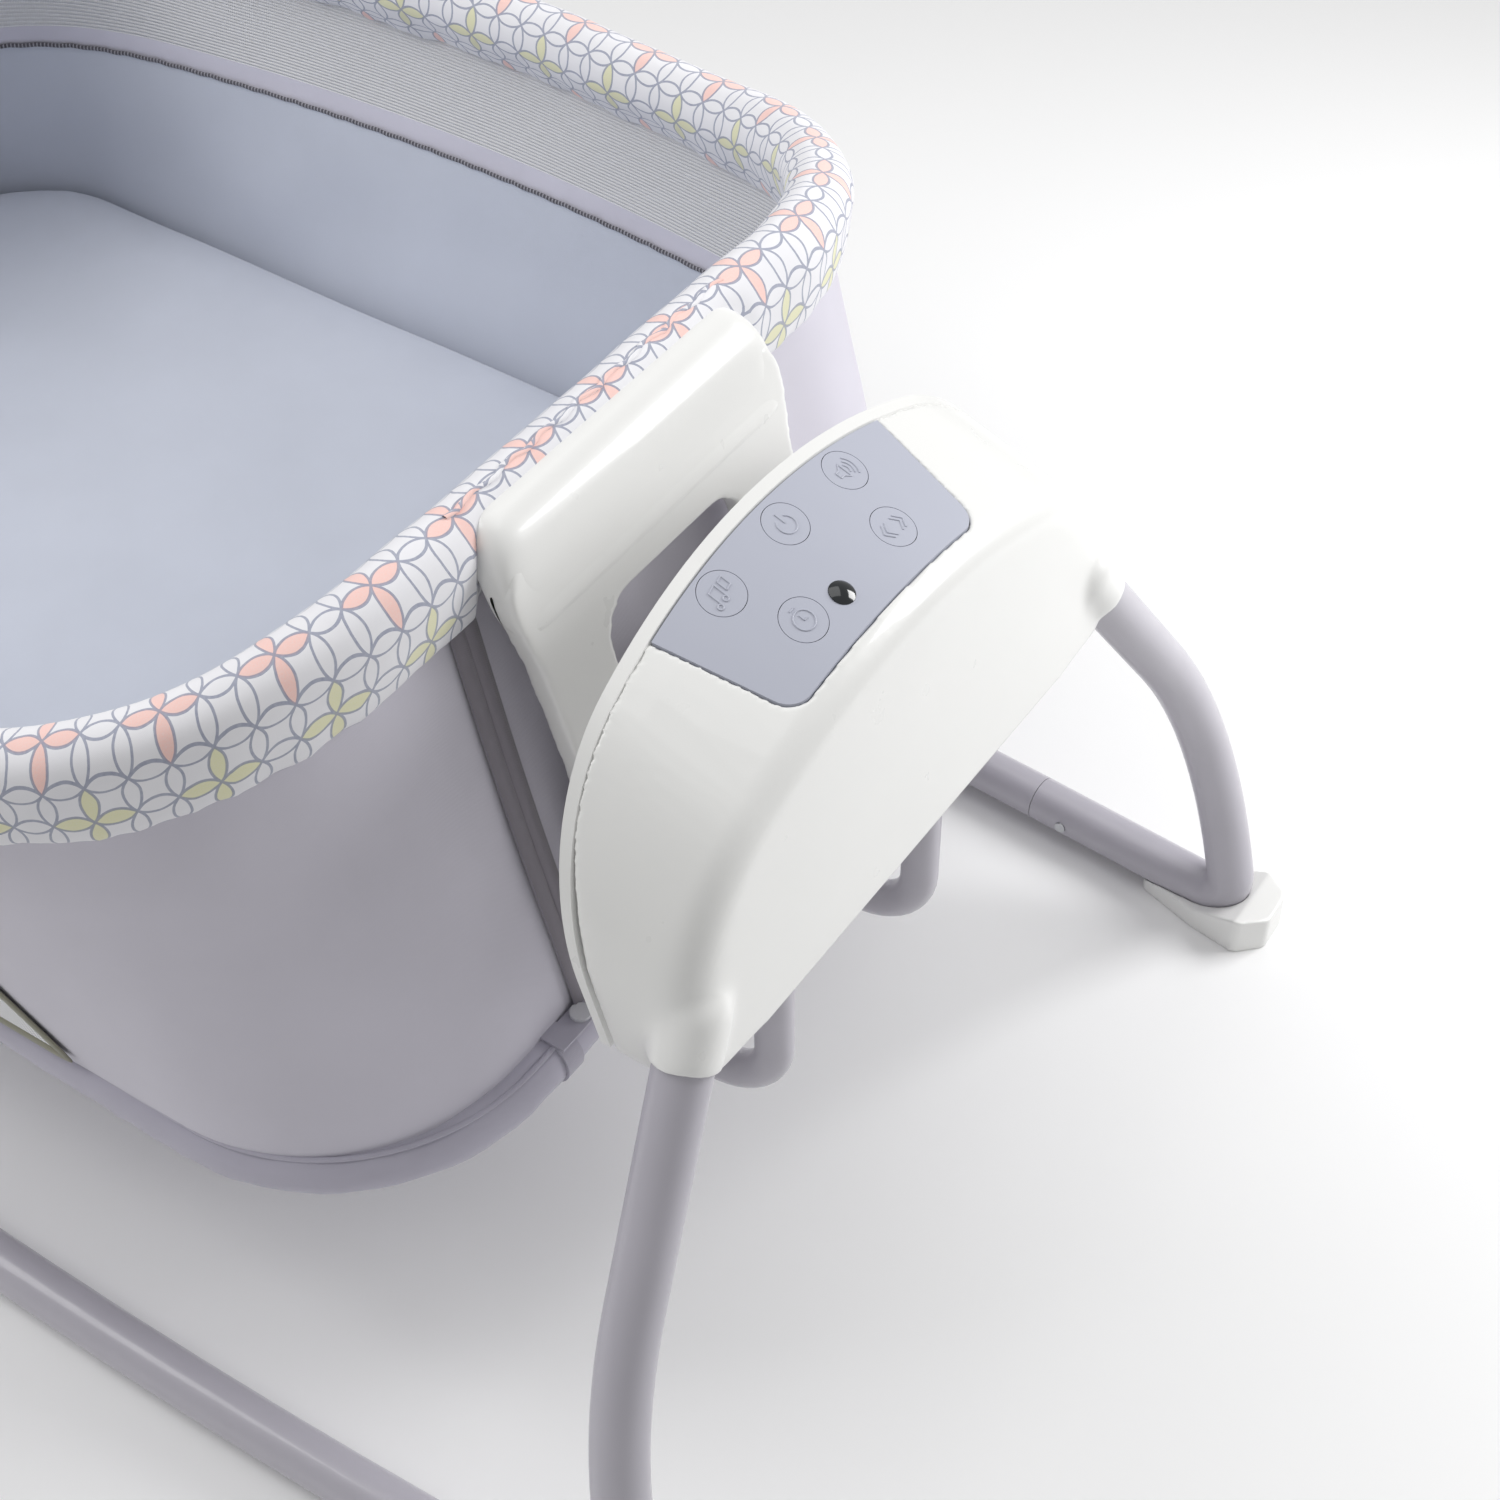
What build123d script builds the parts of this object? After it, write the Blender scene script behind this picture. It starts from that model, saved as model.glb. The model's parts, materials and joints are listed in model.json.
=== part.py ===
from build123d import *
import math
import os

# Baby swing: a bassinet that rests on two carrier tubes, which hang from a pivot in the housing at
# each end of a four-legged tube base. Millimetres; the origin is on the floor under the middle of
# the swing, +X points to the motor end, +Y to the left side and +Z up. The plain end mirrors the
# motor end about the YZ plane.

# ---- Driving dimensions ----
# Base tubes
LEG_RADIUS = 12.5
TUBE_WALL = 1.5
LEG_TOP = (456.1, 147.6, 313.5)
LEG_KNEE = (485.6, 270.8, 130.1)
LEG_FOOT = (516.9, 261.7, 16)
KNEE_BEND = 270
FOOT_BEND = 14
FLOOR_SEAM = (392, 270, 16)
FLOOR_MIDDLE_Y = 278
FLOOR_BEND_X = 268
FLOOR_BEND = 3800
SEAM_GAP = 0.4
SPIGOT_RADIUS = 10.8
SPIGOT_LENGTH = 36
SPIGOT_WALL = 1.4
SNAP_PIN_RADIUS = 3.2

# Housings: an arch seen from the end, with a leaning inner plane, a sloping top and a steep front
HOOD_PLANE_X = 405.1
HOOD_PLANE_Z = 340.6
HOOD_LEAN = 0.269
HOOD_TOP_Z = 428
HOOD_TOP_SLOPE = 20
HOOD_BOTTOM_Z = 278
HOOD_FRONT_X = 469
HOOD_FRONT_LEAN = 0.09
HOOD_CORNER = 18
CROWN_RADIUS = 311
CROWN_HALF_WIDTH = 107
SHOULDER_Y = 165
SHOULDER_Z = 326
SIDE_FOOT_Y = 162
SHELL_WALL = 3
LINER_DEPTH = 4.5
PARTING_GROOVE = 0.8
COLLAR_RADIUS = 15.6
COLLAR_START = 5
COLLAR_DROP = 27.5

# Control panel
PANEL_INNER_HALF = 84
PANEL_OUTER_HALF = 66
PANEL_OUTER_X = 448
PANEL_CORNER = 12
PANEL_GAP = 0.3
BUTTON_RADIUS = 10
BUTTONS = {
    "button_volume": (400, 41),
    "button_power": (400, -2),
    "button_music": (400, -46),
    "button_swing": (429, 32),
    "button_timer": (429, -33),
}
LENS_SPOT = (433, -12)
LENS_RADIUS = 5.6
LENS_RISE = 1.6

# Swing pivot and carrier
PIVOT_Z = 370
SHAFT_RADIUS = 5
SHAFT_CLEARANCE = 0.04
SHOULDER_RADIUS = 7.5
BUSH_RADIUS = 7
YOKE_X = 433
YOKE_THICKNESS = 12
BRACKET_IN_X = 406
BRACKET_OUT_X = 448
BRACKET_PLATE = 3
CARRIER_RADIUS = 9
CARRIER_Y = 61
CARRIER_Z = 143
CARRIER_BEND = 32
CARRIER_TOP_Z = 345

# Bassinet
RING_TUBE_RADIUS = 9.5
RING_RADIUS = 12.5
RING_Z = 167
RING_HALF_LENGTH = 348
RING_HALF_WIDTH = 234
RING_CORNER = 100
RIM_TUBE_RADIUS = 8
RIM_HALF_LENGTH = 306
RIM_HALF_WIDTH = 286
RIM_SIDE_BOW = 50
RIM_CORNER = 140
RIM_END_Z = 414
RIM_MIDDLE_Z = 374
SLEEVE_HALF = 13
SLEEVE_RISE = 25
SLEEVE_DROP = 20
SLEEVE_SKIN = 4
WALL_BOTTOM_Z = 181.4
WALL_TOP_Z = 392
WALL_THICKNESS = 4
SIDE_PANEL_HALF = 200
WINDOW_HALF = 185
WINDOW_BOTTOM_Z = 186
WINDOW_SHOULDER_Z = 232
WINDOW_TOP_Z = 330
MATTRESS_HALF_LENGTH = 329
MATTRESS_HALF_WIDTH = 232
MATTRESS_FOOT_HALF_WIDTH = 212
MATTRESS_STEP_Z = 182
MATTRESS_LOW_Z = 164.6
MATTRESS_TOP_Z = 205
PLATE_THICKNESS = 12
FIT_GAP = 0.3

nodes = {}


def point_of(values, sign_x=1, sign_y=1):
    return (values[0] * sign_x, values[1] * sign_y, values[2])


def rod(points, bends, radius):
    """Solid round bar along straight runs joined by arcs."""
    path = FilletPolyline(*points, radius=bends)
    section = Plane(origin=path @ 0, z_dir=path % 0) * Circle(radius)
    return sweep(section, path)


def pipe(points, bends, radius, wall):
    return rod(points, bends, radius) - rod(points, bends, radius - wall)


def cylinder_between(start, end, radius):
    start, end = Vector(*start), Vector(*end)
    axis = end - start
    return extrude(Plane(origin=start, z_dir=axis) * Circle(radius), axis.length)


def mirrored_end(shape):
    return mirror(shape, about=Plane.YZ)


def mirrored_side(shape):
    return mirror(shape, about=Plane.XZ)


def add(name, *solids):
    nodes[name] = solids[0] if len(solids) == 1 else Compound(children=list(solids))


def add_both_ends(name, shape):
    add(f"{name}_motor", shape)
    add(f"{name}_plain", mirrored_end(shape))


def add_both_sides(name, shape):
    add(f"{name}_left", shape)
    add(f"{name}_right", mirrored_side(shape))


def at_four_corners(solid):
    """The same solid at +X+Y, +X-Y, -X+Y and -X-Y."""
    right = mirrored_side(solid)
    return [solid, right, mirrored_end(solid), mirrored_end(right)]


# ---- Base tubes ----
LEG_PATH = [LEG_TOP, LEG_KNEE, LEG_FOOT, FLOOR_SEAM]
LEG_BENDS = [KNEE_BEND, FOOT_BEND]
SEAM_DIRECTION = (Vector(*FLOOR_SEAM) - Vector(*LEG_FOOT)).normalized()


def snap_pin():
    """Spring pin that locks the floor tube's spigot in the leg's stub, on the inner side."""
    centre = Vector(*FLOOR_SEAM) - SEAM_DIRECTION * 20
    start = centre - Vector(0, 7, 0)
    end = centre - Vector(0, LEG_RADIUS + 0.8, 0)
    return cylinder_between(start, end, SNAP_PIN_RADIUS)


def pin_hole():
    centre = Vector(*FLOOR_SEAM) - SEAM_DIRECTION * 20
    end = centre - Vector(0, 2 * LEG_RADIUS, 0)
    return cylinder_between(centre, end, SNAP_PIN_RADIUS + 0.1)


def shoe_screw_axis():
    spot = Vector(*LEG_FOOT) + SEAM_DIRECTION * 30
    return spot.X, spot.Y


def shoe_screw(clearance=0.0):
    x, y = shoe_screw_axis()
    shaft = Pos(x, y, 5) * Cylinder(2 + clearance, 8)
    head = Pos(x, y, 1.5) * Cylinder(4 + clearance, 1.6)
    return shaft + head


def leg_tube():
    return pipe(LEG_PATH, LEG_BENDS, LEG_RADIUS, TUBE_WALL) - pin_hole() - shoe_screw(0.15)


def floor_tube():
    """Middle floor tube with a smaller spigot at each end that enters the leg's stub."""
    start = tuple(Vector(*FLOOR_SEAM) + SEAM_DIRECTION * SEAM_GAP)
    bend_in = (FLOOR_BEND_X, FLOOR_MIDDLE_Y, LEG_FOOT[2])
    path = [start, bend_in, point_of(bend_in, -1), point_of(start, -1)]
    main = pipe(path, [FLOOR_BEND, FLOOR_BEND], LEG_RADIUS, TUBE_WALL)
    tip = Vector(*FLOOR_SEAM) - SEAM_DIRECTION * SPIGOT_LENGTH
    root = Vector(*FLOOR_SEAM) + SEAM_DIRECTION * 12
    spigot = cylinder_between(root, tip, SPIGOT_RADIUS)
    joining_ring = cylinder_between(root, start, LEG_RADIUS - TUBE_WALL / 2)
    bore = cylinder_between(root, (tip - SEAM_DIRECTION), SPIGOT_RADIUS - SPIGOT_WALL)
    end = spigot + joining_ring - bore - pin_hole()
    return main + end + mirrored_end(end)


def foot_shoe():
    """Plastic shoe under and outside the floor bend, with one small hole and two slots."""
    foot_x, foot_y, _ = LEG_FOOT
    back = Vector(*LEG_FOOT) + SEAM_DIRECTION * 52
    outline = Polyline(
        (back.X, back.Y - 10), (foot_x - 16, foot_y - 17), (foot_x + 12, foot_y - 21),
        (foot_x + 25, foot_y - 8), (foot_x + 24, foot_y + 14), (foot_x + 8, foot_y + 23),
        (foot_x - 16, foot_y + 19), (back.X, back.Y + 11), close=True)
    block = extrude(make_face(outline), 30)
    block = fillet(block.edges().filter_by(Axis.Z), 6)
    ramp = Polyline((back.X - 5, 0), (back.X - 5, 9), (foot_x - 14, 14), (foot_x + 10, 24),
                    (foot_x + 40, 20), (foot_x + 40, 0), close=True)
    block = block & extrude(Plane.XZ * make_face(ramp), 600, both=True)
    block = block - rod(LEG_PATH, LEG_BENDS, LEG_RADIUS + 0.15) - shoe_screw(0.15)
    recess = Pos(*shoe_screw_axis(), 0.5) * Cylinder(4.2, 2)
    hole = cylinder_between((foot_x - 8, foot_y, 8), (foot_x - 8, foot_y + 40, 8), 2)
    slots = [Pos(foot_x + dx, foot_y + 19, 7) * Box(3, 8, 5) for dx in (-20, 2)]
    block = block - recess - hole
    for slot in slots:
        block = block - slot
    return block


def build_base_tubes():
    leg = leg_tube()
    shoe = foot_shoe()
    for end_name, sign in (("motor", 1), ("plain", -1)):
        for side_name, flip in (("left", False), ("right", True)):
            parts = [mirrored_side(p) if flip else p for p in (leg, shoe)]
            parts = [p if sign == 1 else mirrored_end(p) for p in parts]
            add(f"leg_tube_{end_name}_{side_name}", parts[0])
            add(f"foot_shoe_{end_name}_{side_name}", parts[1])
    add_both_sides("floor_tube", floor_tube())
    add("tube_snap_pins", *at_four_corners(snap_pin()))


# ---- Housings ----
def inner_plane_x(z):
    return HOOD_PLANE_X - HOOD_LEAN * (z - HOOD_PLANE_Z)


def front_x(z):
    return HOOD_FRONT_X - HOOD_FRONT_LEAN * (z - HOOD_BOTTOM_Z)


def crown_drop(y):
    return CROWN_RADIUS - math.sqrt(CROWN_RADIUS ** 2 - y ** 2)


def top_z(x, y):
    """Height of the housing's top surface."""
    slope = math.tan(math.radians(HOOD_TOP_SLOPE))
    return HOOD_TOP_Z - (x - inner_plane_x(HOOD_TOP_Z)) * slope - crown_drop(y)


def arch_block(inset):
    """The arch outline, pushed along the slope of the top."""
    crown_end = (CROWN_HALF_WIDTH, HOOD_TOP_Z - crown_drop(CROWN_HALF_WIDTH))
    slope_angle = math.asin(CROWN_HALF_WIDTH / CROWN_RADIUS)
    tangent = (math.cos(slope_angle), -math.sin(slope_angle))
    shoulder = TangentArc(crown_end, (SHOULDER_Y, SHOULDER_Z), tangent=tangent)
    side = Line((SHOULDER_Y, SHOULDER_Z), (SIDE_FOOT_Y, 180))
    crown = ThreePointArc((-crown_end[0], crown_end[1]), (0, HOOD_TOP_Z), crown_end)
    half = [shoulder, side]
    other = [mirror(edge, about=Plane.YZ) for edge in half]
    floor_line = Line((-SIDE_FOOT_Y, 180), (SIDE_FOOT_Y, 180))
    outline = make_face(Curve() + [crown, *half, *other, floor_line])
    if inset:
        outline = offset(outline, -inset)
    run_back = 60
    slope = math.radians(HOOD_TOP_SLOPE)
    start = Plane(origin=(inner_plane_x(HOOD_TOP_Z) - run_back, 0, run_back * math.tan(slope)),
                  x_dir=(0, 1, 0), z_dir=(1, 0, 0))
    return extrude(start * outline, 190, dir=(math.cos(slope), 0, -math.sin(slope)))


def side_profile(back_shift, inset, bottom_z):
    """Block between the leaning inner plane, moved back_shift inwards, and the front face."""
    top = 470
    outline = Polyline(
        (inner_plane_x(bottom_z) + back_shift, bottom_z), (front_x(bottom_z) - inset, bottom_z),
        (front_x(top) - inset, top), (inner_plane_x(top) + back_shift, top), close=True)
    return extrude(Plane.XZ * make_face(outline), 200, both=True)


def hood(back_shift=0.0, inset=0.0, bottom_z=HOOD_BOTTOM_Z):
    """The housing's outer form, with its front edge rounded, pulled in by inset all round."""
    block = arch_block(inset) & side_profile(back_shift, inset, bottom_z)
    front = block.faces().sort_by(Axis.X)[-1]
    edges = [e for e in front.edges() if e.center().Z > bottom_z + 1]
    return fillet(edges, HOOD_CORNER - inset)


def leg_axis_point(distance):
    """Point on the leg's upper run, measured down from its top."""
    top = Vector(*LEG_TOP)
    return top + (Vector(*LEG_KNEE) - top).normalized() * distance


def leg_collar(radius):
    """Socket round the leg's top, closed above by a dome."""
    start = leg_axis_point(COLLAR_START)
    return cylinder_between(start, leg_axis_point(COLLAR_DROP), radius) + Pos(*start) * Sphere(radius)


def leg_hole():
    start = leg_axis_point(-2)
    return cylinder_between(start, leg_axis_point(80), LEG_RADIUS + 0.2)


COVER_BACK = LINER_DEPTH + PARTING_GROOVE
PANEL_BACK = COVER_BACK + PANEL_GAP
SCREW_SPOTS = [(115, 370), (-115, 370), (118, 300), (-118, 300)]
BRACKET_SCREWS = [(19, 355), (-19, 355)]


def front_to_back_posts(spots, start_shift, start_x, radius):
    """Round posts along X from the liner or from a fixed X to the front wall."""
    posts = []
    for y, z in spots:
        x = start_x if start_x else inner_plane_x(z) + start_shift
        posts.append(cylinder_between((x, y, z), (HOOD_FRONT_X, y, z), radius))
    return posts


def panel_outline(gap):
    inner_x = inner_plane_x(HOOD_TOP_Z)
    outline = make_face(Polyline(
        (inner_x - 20, PANEL_INNER_HALF + 3), (inner_x - 20, -PANEL_INNER_HALF - 3),
        (PANEL_OUTER_X, -PANEL_OUTER_HALF), (PANEL_OUTER_X, PANEL_OUTER_HALF), close=True))
    outer_corners = outline.vertices().sort_by(Axis.X)[-2:]
    outline = fillet(outer_corners, PANEL_CORNER)
    return offset(outline, gap) if gap else outline


def panel_column(gap):
    return extrude(Pos(0, 0, 380) * panel_outline(gap), 80)


def cover(with_panel):
    """Outer cover: a 3 mm shell, open below and towards the liner, with a collar for each leg."""
    outer = hood(COVER_BACK)
    inner = hood(COVER_BACK - 20, SHELL_WALL, HOOD_BOTTOM_Z - 20)
    shell = outer - inner
    posts = front_to_back_posts(SCREW_SPOTS, COVER_BACK, None, 5)
    posts += front_to_back_posts(BRACKET_SCREWS, 0, BRACKET_OUT_X + BRACKET_PLATE, 4.5)
    for post in posts:
        shell = shell + (post & outer)
    collar = leg_collar(COLLAR_RADIUS)
    shell = shell + collar + mirrored_side(collar)
    hole = leg_hole()
    shell = shell - hole - mirrored_side(hole)
    for y, z in SCREW_SPOTS:
        x = inner_plane_x(z)
        shell = shell - cylinder_between((x, y, z), (x + 30, y, z), 1.6)
    for y, z in BRACKET_SCREWS:
        shell = shell - cylinder_between((BRACKET_OUT_X, y, z), (BRACKET_OUT_X + 10, y, z), 1.6)
    if with_panel:
        shell = shell - panel_column(PANEL_GAP)
    return shell


def liner():
    """Inner cover: a lip all round and a thinner wall, cut away below for the swinging yoke."""
    slab = hood_slab(0, LINER_DEPTH, 0)
    pocket = hood_slab(2.5, 30, 8)
    wall = slab - pocket
    opening = Pos(420, 0, 290) * Box(80, 196, 54)
    wall = wall - fillet(opening.edges().filter_by(Axis.X), 14)
    hole = leg_hole()
    wall = wall - hole - mirrored_side(hole)
    for y, z in SCREW_SPOTS:
        x = inner_plane_x(z)
        wall = wall - cylinder_between((x - 10, y, z), (x + 20, y, z), 1.7)
        wall = wall - cylinder_between((x - 10, y, z), (x + 1.45, y, z), 3.8)
    return wall


def hood_slab(near, far, inset):
    """The part of the hood's form between two planes parallel to the inner plane."""
    top = 470
    low = HOOD_BOTTOM_Z + 3 + inset
    lean = math.sqrt(1 + HOOD_LEAN ** 2)
    outline = Polyline(
        (inner_plane_x(low) + near * lean, low), (inner_plane_x(low) + far * lean, low),
        (inner_plane_x(top) + far * lean, top), (inner_plane_x(top) + near * lean, top), close=True)
    return arch_block(inset) & extrude(Plane.XZ * make_face(outline), 200, both=True)


def cover_screws():
    screws = []
    for y, z in SCREW_SPOTS:
        x = inner_plane_x(z)
        shaft = cylinder_between((x + 1.4, y, z), (x + 22, y, z), 1.5)
        head = cylinder_between((x - 1, y, z), (x + 1.4, y, z), 3.5)
        screws.append(shaft + head)
    return screws


def build_housings():
    add("housing_cover_motor", cover(with_panel=True))
    add("housing_cover_plain", mirrored_end(cover(with_panel=False)))
    add_both_ends("housing_liner", liner())


# ---- Control panel ----
def panel_frame_at(spot):
    """Frame on the panel's surface with Z along its outward normal."""
    slope = math.radians(HOOD_TOP_SLOPE)
    x, y = spot
    return Plane(origin=(x, y, top_z(x, y)), x_dir=(0, 1, 0),
                 z_dir=(math.sin(slope), 0, math.cos(slope)))


def disc_at(spot, radius, depth, rise=10):
    frame = panel_frame_at(spot)
    return extrude(frame.offset(-depth) * Circle(radius), depth + rise)


def panel_skin(depth):
    return hood(PANEL_BACK) - hood(PANEL_BACK - 20, depth, HOOD_BOTTOM_Z - 20)


def build_panel():
    skin = panel_skin(SHELL_WALL)
    plate = skin & panel_column(0)
    for spot in BUTTONS.values():
        plate = plate - disc_at(spot, BUTTON_RADIUS + PANEL_GAP, 12)
    plate = plate - disc_at(LENS_SPOT, LENS_RADIUS + 0.1, 12)
    add("control_panel", plate)
    for name, spot in BUTTONS.items():
        add(name, skin & disc_at(spot, BUTTON_RADIUS, 12))
    frame = panel_frame_at(LENS_SPOT)
    cap_radius = (LENS_RADIUS ** 2 + LENS_RISE ** 2) / (2 * LENS_RISE)
    barrel = extrude(frame.offset(-4) * Circle(LENS_RADIUS), 4.2 + LENS_RISE)
    cap = frame.offset(0.2 + LENS_RISE - cap_radius) * Sphere(cap_radius)
    stem = extrude(frame.offset(-4) * Circle(LENS_RADIUS), 4)
    add("receiver_lens", (barrel & cap) + stem)
    board_frame = panel_frame_at((417, 0)).offset(-12.6)
    board = extrude(board_frame * Rectangle(112, 40), 1.6)
    add("circuit_board", board)


# ---- Swing pivot ----
def along_x(start_x, end_x, y, z, radius):
    return cylinder_between((start_x, y, z), (end_x, y, z), radius)


def block(x_range, y_range, z_range):
    sizes = [high - low for low, high in (x_range, y_range, z_range)]
    middle = [(low + high) / 2 for low, high in (x_range, y_range, z_range)]
    return Pos(*middle) * Box(*sizes)


def pivot_bracket():
    """Steel bracket that straddles the yoke and holds both bushes."""
    top = PIVOT_Z + 18
    inner = block((BRACKET_IN_X, BRACKET_IN_X + BRACKET_PLATE), (-16, 16), (PIVOT_Z - 14, top))
    outer = block((BRACKET_OUT_X, BRACKET_OUT_X + BRACKET_PLATE), (-26, 26), (PIVOT_Z - 24, top - 8))
    outer += block((BRACKET_OUT_X, BRACKET_OUT_X + BRACKET_PLATE), (-16, 16), (PIVOT_Z, top))
    bridge = block((BRACKET_IN_X, BRACKET_OUT_X + BRACKET_PLATE), (-16, 16), (top - BRACKET_PLATE, top))
    bracket = inner + outer + bridge - along_x(400, 460, 0, PIVOT_Z, BUSH_RADIUS)
    for y, z in BRACKET_SCREWS:
        bracket = bracket - along_x(440, 460, y, z, 1.7)
    return bracket


def bush(wall_x, flange_sign):
    """Plain bush in a bracket wall, with its flange on the yoke's side."""
    flange_face = wall_x if flange_sign < 0 else wall_x + BRACKET_PLATE
    far_face = wall_x + BRACKET_PLATE + 1 if flange_sign < 0 else wall_x - 1
    sleeve = along_x(far_face, flange_face, 0, PIVOT_Z, BUSH_RADIUS - 0.02)
    flange = along_x(flange_face, flange_face + 2 * flange_sign, 0, PIVOT_Z, BUSH_RADIUS + 2.5)
    return sleeve + flange - along_x(400, 460, 0, PIVOT_Z, SHAFT_RADIUS + SHAFT_CLEARANCE)


def pivot_shaft():
    ends = along_x(403, 454, 0, PIVOT_Z, SHAFT_RADIUS)
    middle_start = BRACKET_IN_X + BRACKET_PLATE + 2.4
    return ends + along_x(middle_start, BRACKET_OUT_X - 2.4, 0, PIVOT_Z, SHOULDER_RADIUS)


def shaft_ring(start_x):
    ring = along_x(start_x, start_x + 0.9, 0, PIVOT_Z, SHOULDER_RADIUS)
    return ring - along_x(400, 460, 0, PIVOT_Z, SHAFT_RADIUS + 0.02)


def yoke():
    """Cast yoke: a hub, two arms and a blind socket for each carrier tube."""
    half = YOKE_THICKNESS / 2
    low = CARRIER_TOP_Z - 20
    outline = Polyline(
        (-10, PIVOT_Z + 6), (10, PIVOT_Z + 6), (CARRIER_Y + 8, CARRIER_TOP_Z + 6), (CARRIER_Y + 8, low),
        (CARRIER_Y - 8, low), (12, PIVOT_Z - 26), (12, PIVOT_Z - 62), (-12, PIVOT_Z - 62),
        (-12, PIVOT_Z - 26), (-CARRIER_Y + 8, low), (-CARRIER_Y - 8, low),
        (-CARRIER_Y - 8, CARRIER_TOP_Z + 6), close=True)
    frame = Plane(origin=(YOKE_X - half, 0, 0), x_dir=(0, 1, 0), z_dir=(1, 0, 0))
    body = extrude(frame * make_face(outline), YOKE_THICKNESS)
    body = body + along_x(YOKE_X - half - 4, YOKE_X + half + 4, 0, PIVOT_Z, 13)
    for sign in (1, -1):
        foot = (YOKE_X, sign * CARRIER_Y, CARRIER_TOP_Z - 24)
        top = (YOKE_X, sign * CARRIER_Y, CARRIER_TOP_Z + 5)
        inside = (YOKE_X, sign * CARRIER_Y, CARRIER_TOP_Z + 0.2)
        body = body + cylinder_between(foot, top, CARRIER_RADIUS + 3)
        body = body - cylinder_between(foot, inside, CARRIER_RADIUS + 0.05)
    return body - along_x(400, 460, 0, PIVOT_Z, SHOULDER_RADIUS + 0.02)


def carrier_tube():
    points = [(YOKE_X, CARRIER_Y, CARRIER_TOP_Z), (YOKE_X, CARRIER_Y, CARRIER_Z),
              (-YOKE_X, CARRIER_Y, CARRIER_Z), (-YOKE_X, CARRIER_Y, CARRIER_TOP_Z)]
    return pipe(points, [CARRIER_BEND, CARRIER_BEND], CARRIER_RADIUS, TUBE_WALL)


def saddle():
    """Clip on the carrier tube with a groove for the bassinet's bottom ring."""
    x, y = RING_HALF_LENGTH, CARRIER_Y
    body = block((x - 12, x + 18), (y - 13, y + 13), (CARRIER_Z - 4, RING_Z - 3))
    groove = cylinder_between((x, y - 30, RING_Z), (x, y + 30, RING_Z), RING_RADIUS + FIT_GAP)
    return body - groove - along_x(x - 30, x + 30, y, CARRIER_Z, CARRIER_RADIUS + 0.05)


def bracket_screws():
    screws = []
    for y, z in BRACKET_SCREWS:
        shaft = along_x(BRACKET_OUT_X - 2, BRACKET_OUT_X + 9, y, z, 1.5)
        screws.append(shaft + along_x(BRACKET_OUT_X - 2, BRACKET_OUT_X, y, z, 3))
    return screws


def build_base_screws():
    end_screws = cover_screws() + bracket_screws()
    other_end = [mirrored_end(s) for s in end_screws]
    add("base_screws", *end_screws, *other_end, *at_four_corners(shoe_screw()))


def build_swing():
    add_both_ends("pivot_bracket", pivot_bracket())
    bushes = [bush(BRACKET_IN_X, 1), bush(BRACKET_OUT_X, -1)]
    add("pivot_bushes", *bushes, *[mirrored_end(b) for b in bushes])
    add_both_ends("pivot_shaft", pivot_shaft())
    rings = [shaft_ring(BRACKET_IN_X - 2.2), shaft_ring(BRACKET_OUT_X + BRACKET_PLATE + 1.3)]
    add("shaft_rings", *rings, *[mirrored_end(r) for r in rings])
    add_both_ends("yoke", yoke())
    add_both_sides("carrier_tube", carrier_tube())
    add("bassinet_saddles", *at_four_corners(saddle()))


def build_drive():
    """Electromagnet drive of the motor end, with the speaker and the power inlet."""
    magnet_z = PIVOT_Z - 52
    face_x = YOKE_X + YOKE_THICKNESS / 2
    add("drive_magnet", block((face_x, face_x + 6), (-9, 9), (magnet_z - 9, magnet_z + 9)))
    coil = along_x(face_x + 10, face_x + 19, 0, magnet_z, 18) - along_x(400, 460, 0, magnet_z, 7)
    add("drive_coil", coil)
    speaker_y, speaker_z = 95, 338
    cone = along_x(446, 452, speaker_y, speaker_z, 11)
    add("speaker", cone + along_x(452, 459, speaker_y, speaker_z, 17))
    add("power_inlet", inlet_body())


INLET_X = 425
INLET_Z = 326
INLET_RADIUS = 3.2


def inlet_body():
    """Barrel socket in the left side wall, with a centre contact."""
    mouth = SHOULDER_Y
    body = cylinder_between((INLET_X, mouth - 18, INLET_Z), (INLET_X, mouth, INLET_Z), 5.5)
    bore = cylinder_between((INLET_X, mouth - 11, INLET_Z), (INLET_X, mouth + 5, INLET_Z), INLET_RADIUS)
    return body - bore


# ---- Bassinet ----
def u_path(half_length, half_width, z):
    """Half of the bottom ring, from the left middle round the motor end to the right middle."""
    return [(0, half_width, z), (half_length, half_width, z), (half_length, -half_width, z), (0, -half_width, z)]


RIM_PATH = [
    (0, RIM_HALF_WIDTH, RIM_MIDDLE_Z), (60, RIM_HALF_WIDTH, RIM_MIDDLE_Z),
    (160, RIM_HALF_WIDTH - 16, RIM_MIDDLE_Z + 3),
    (RIM_HALF_LENGTH, RIM_HALF_WIDTH - RIM_SIDE_BOW, RIM_END_Z),
]
RIM_PATH += [point_of(p, 1, -1) for p in reversed(RIM_PATH)]
RIM_BENDS = [500, 350, RIM_CORNER, RIM_CORNER, 350, 500]


def rim_sleeve_half():
    """Padded sleeve over the rim tube: an upside-down U, open below for the tube."""
    path = FilletPolyline(*RIM_PATH, radius=RIM_BENDS)
    start = Plane(origin=path @ 0, x_dir=(0, 1, 0), z_dir=(1, 0, 0))
    outer = Pos(0, (SLEEVE_RISE - SLEEVE_DROP) / 2) * RectangleRounded(
        2 * SLEEVE_HALF, SLEEVE_RISE + SLEEVE_DROP, 9)
    channel_top = RIM_TUBE_RADIUS + 1
    channel = Pos(0, (channel_top - 40) / 2) * Rectangle(2 * (SLEEVE_HALF - SLEEVE_SKIN), channel_top + 40)
    return sweep(start * (outer - channel), path)


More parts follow.
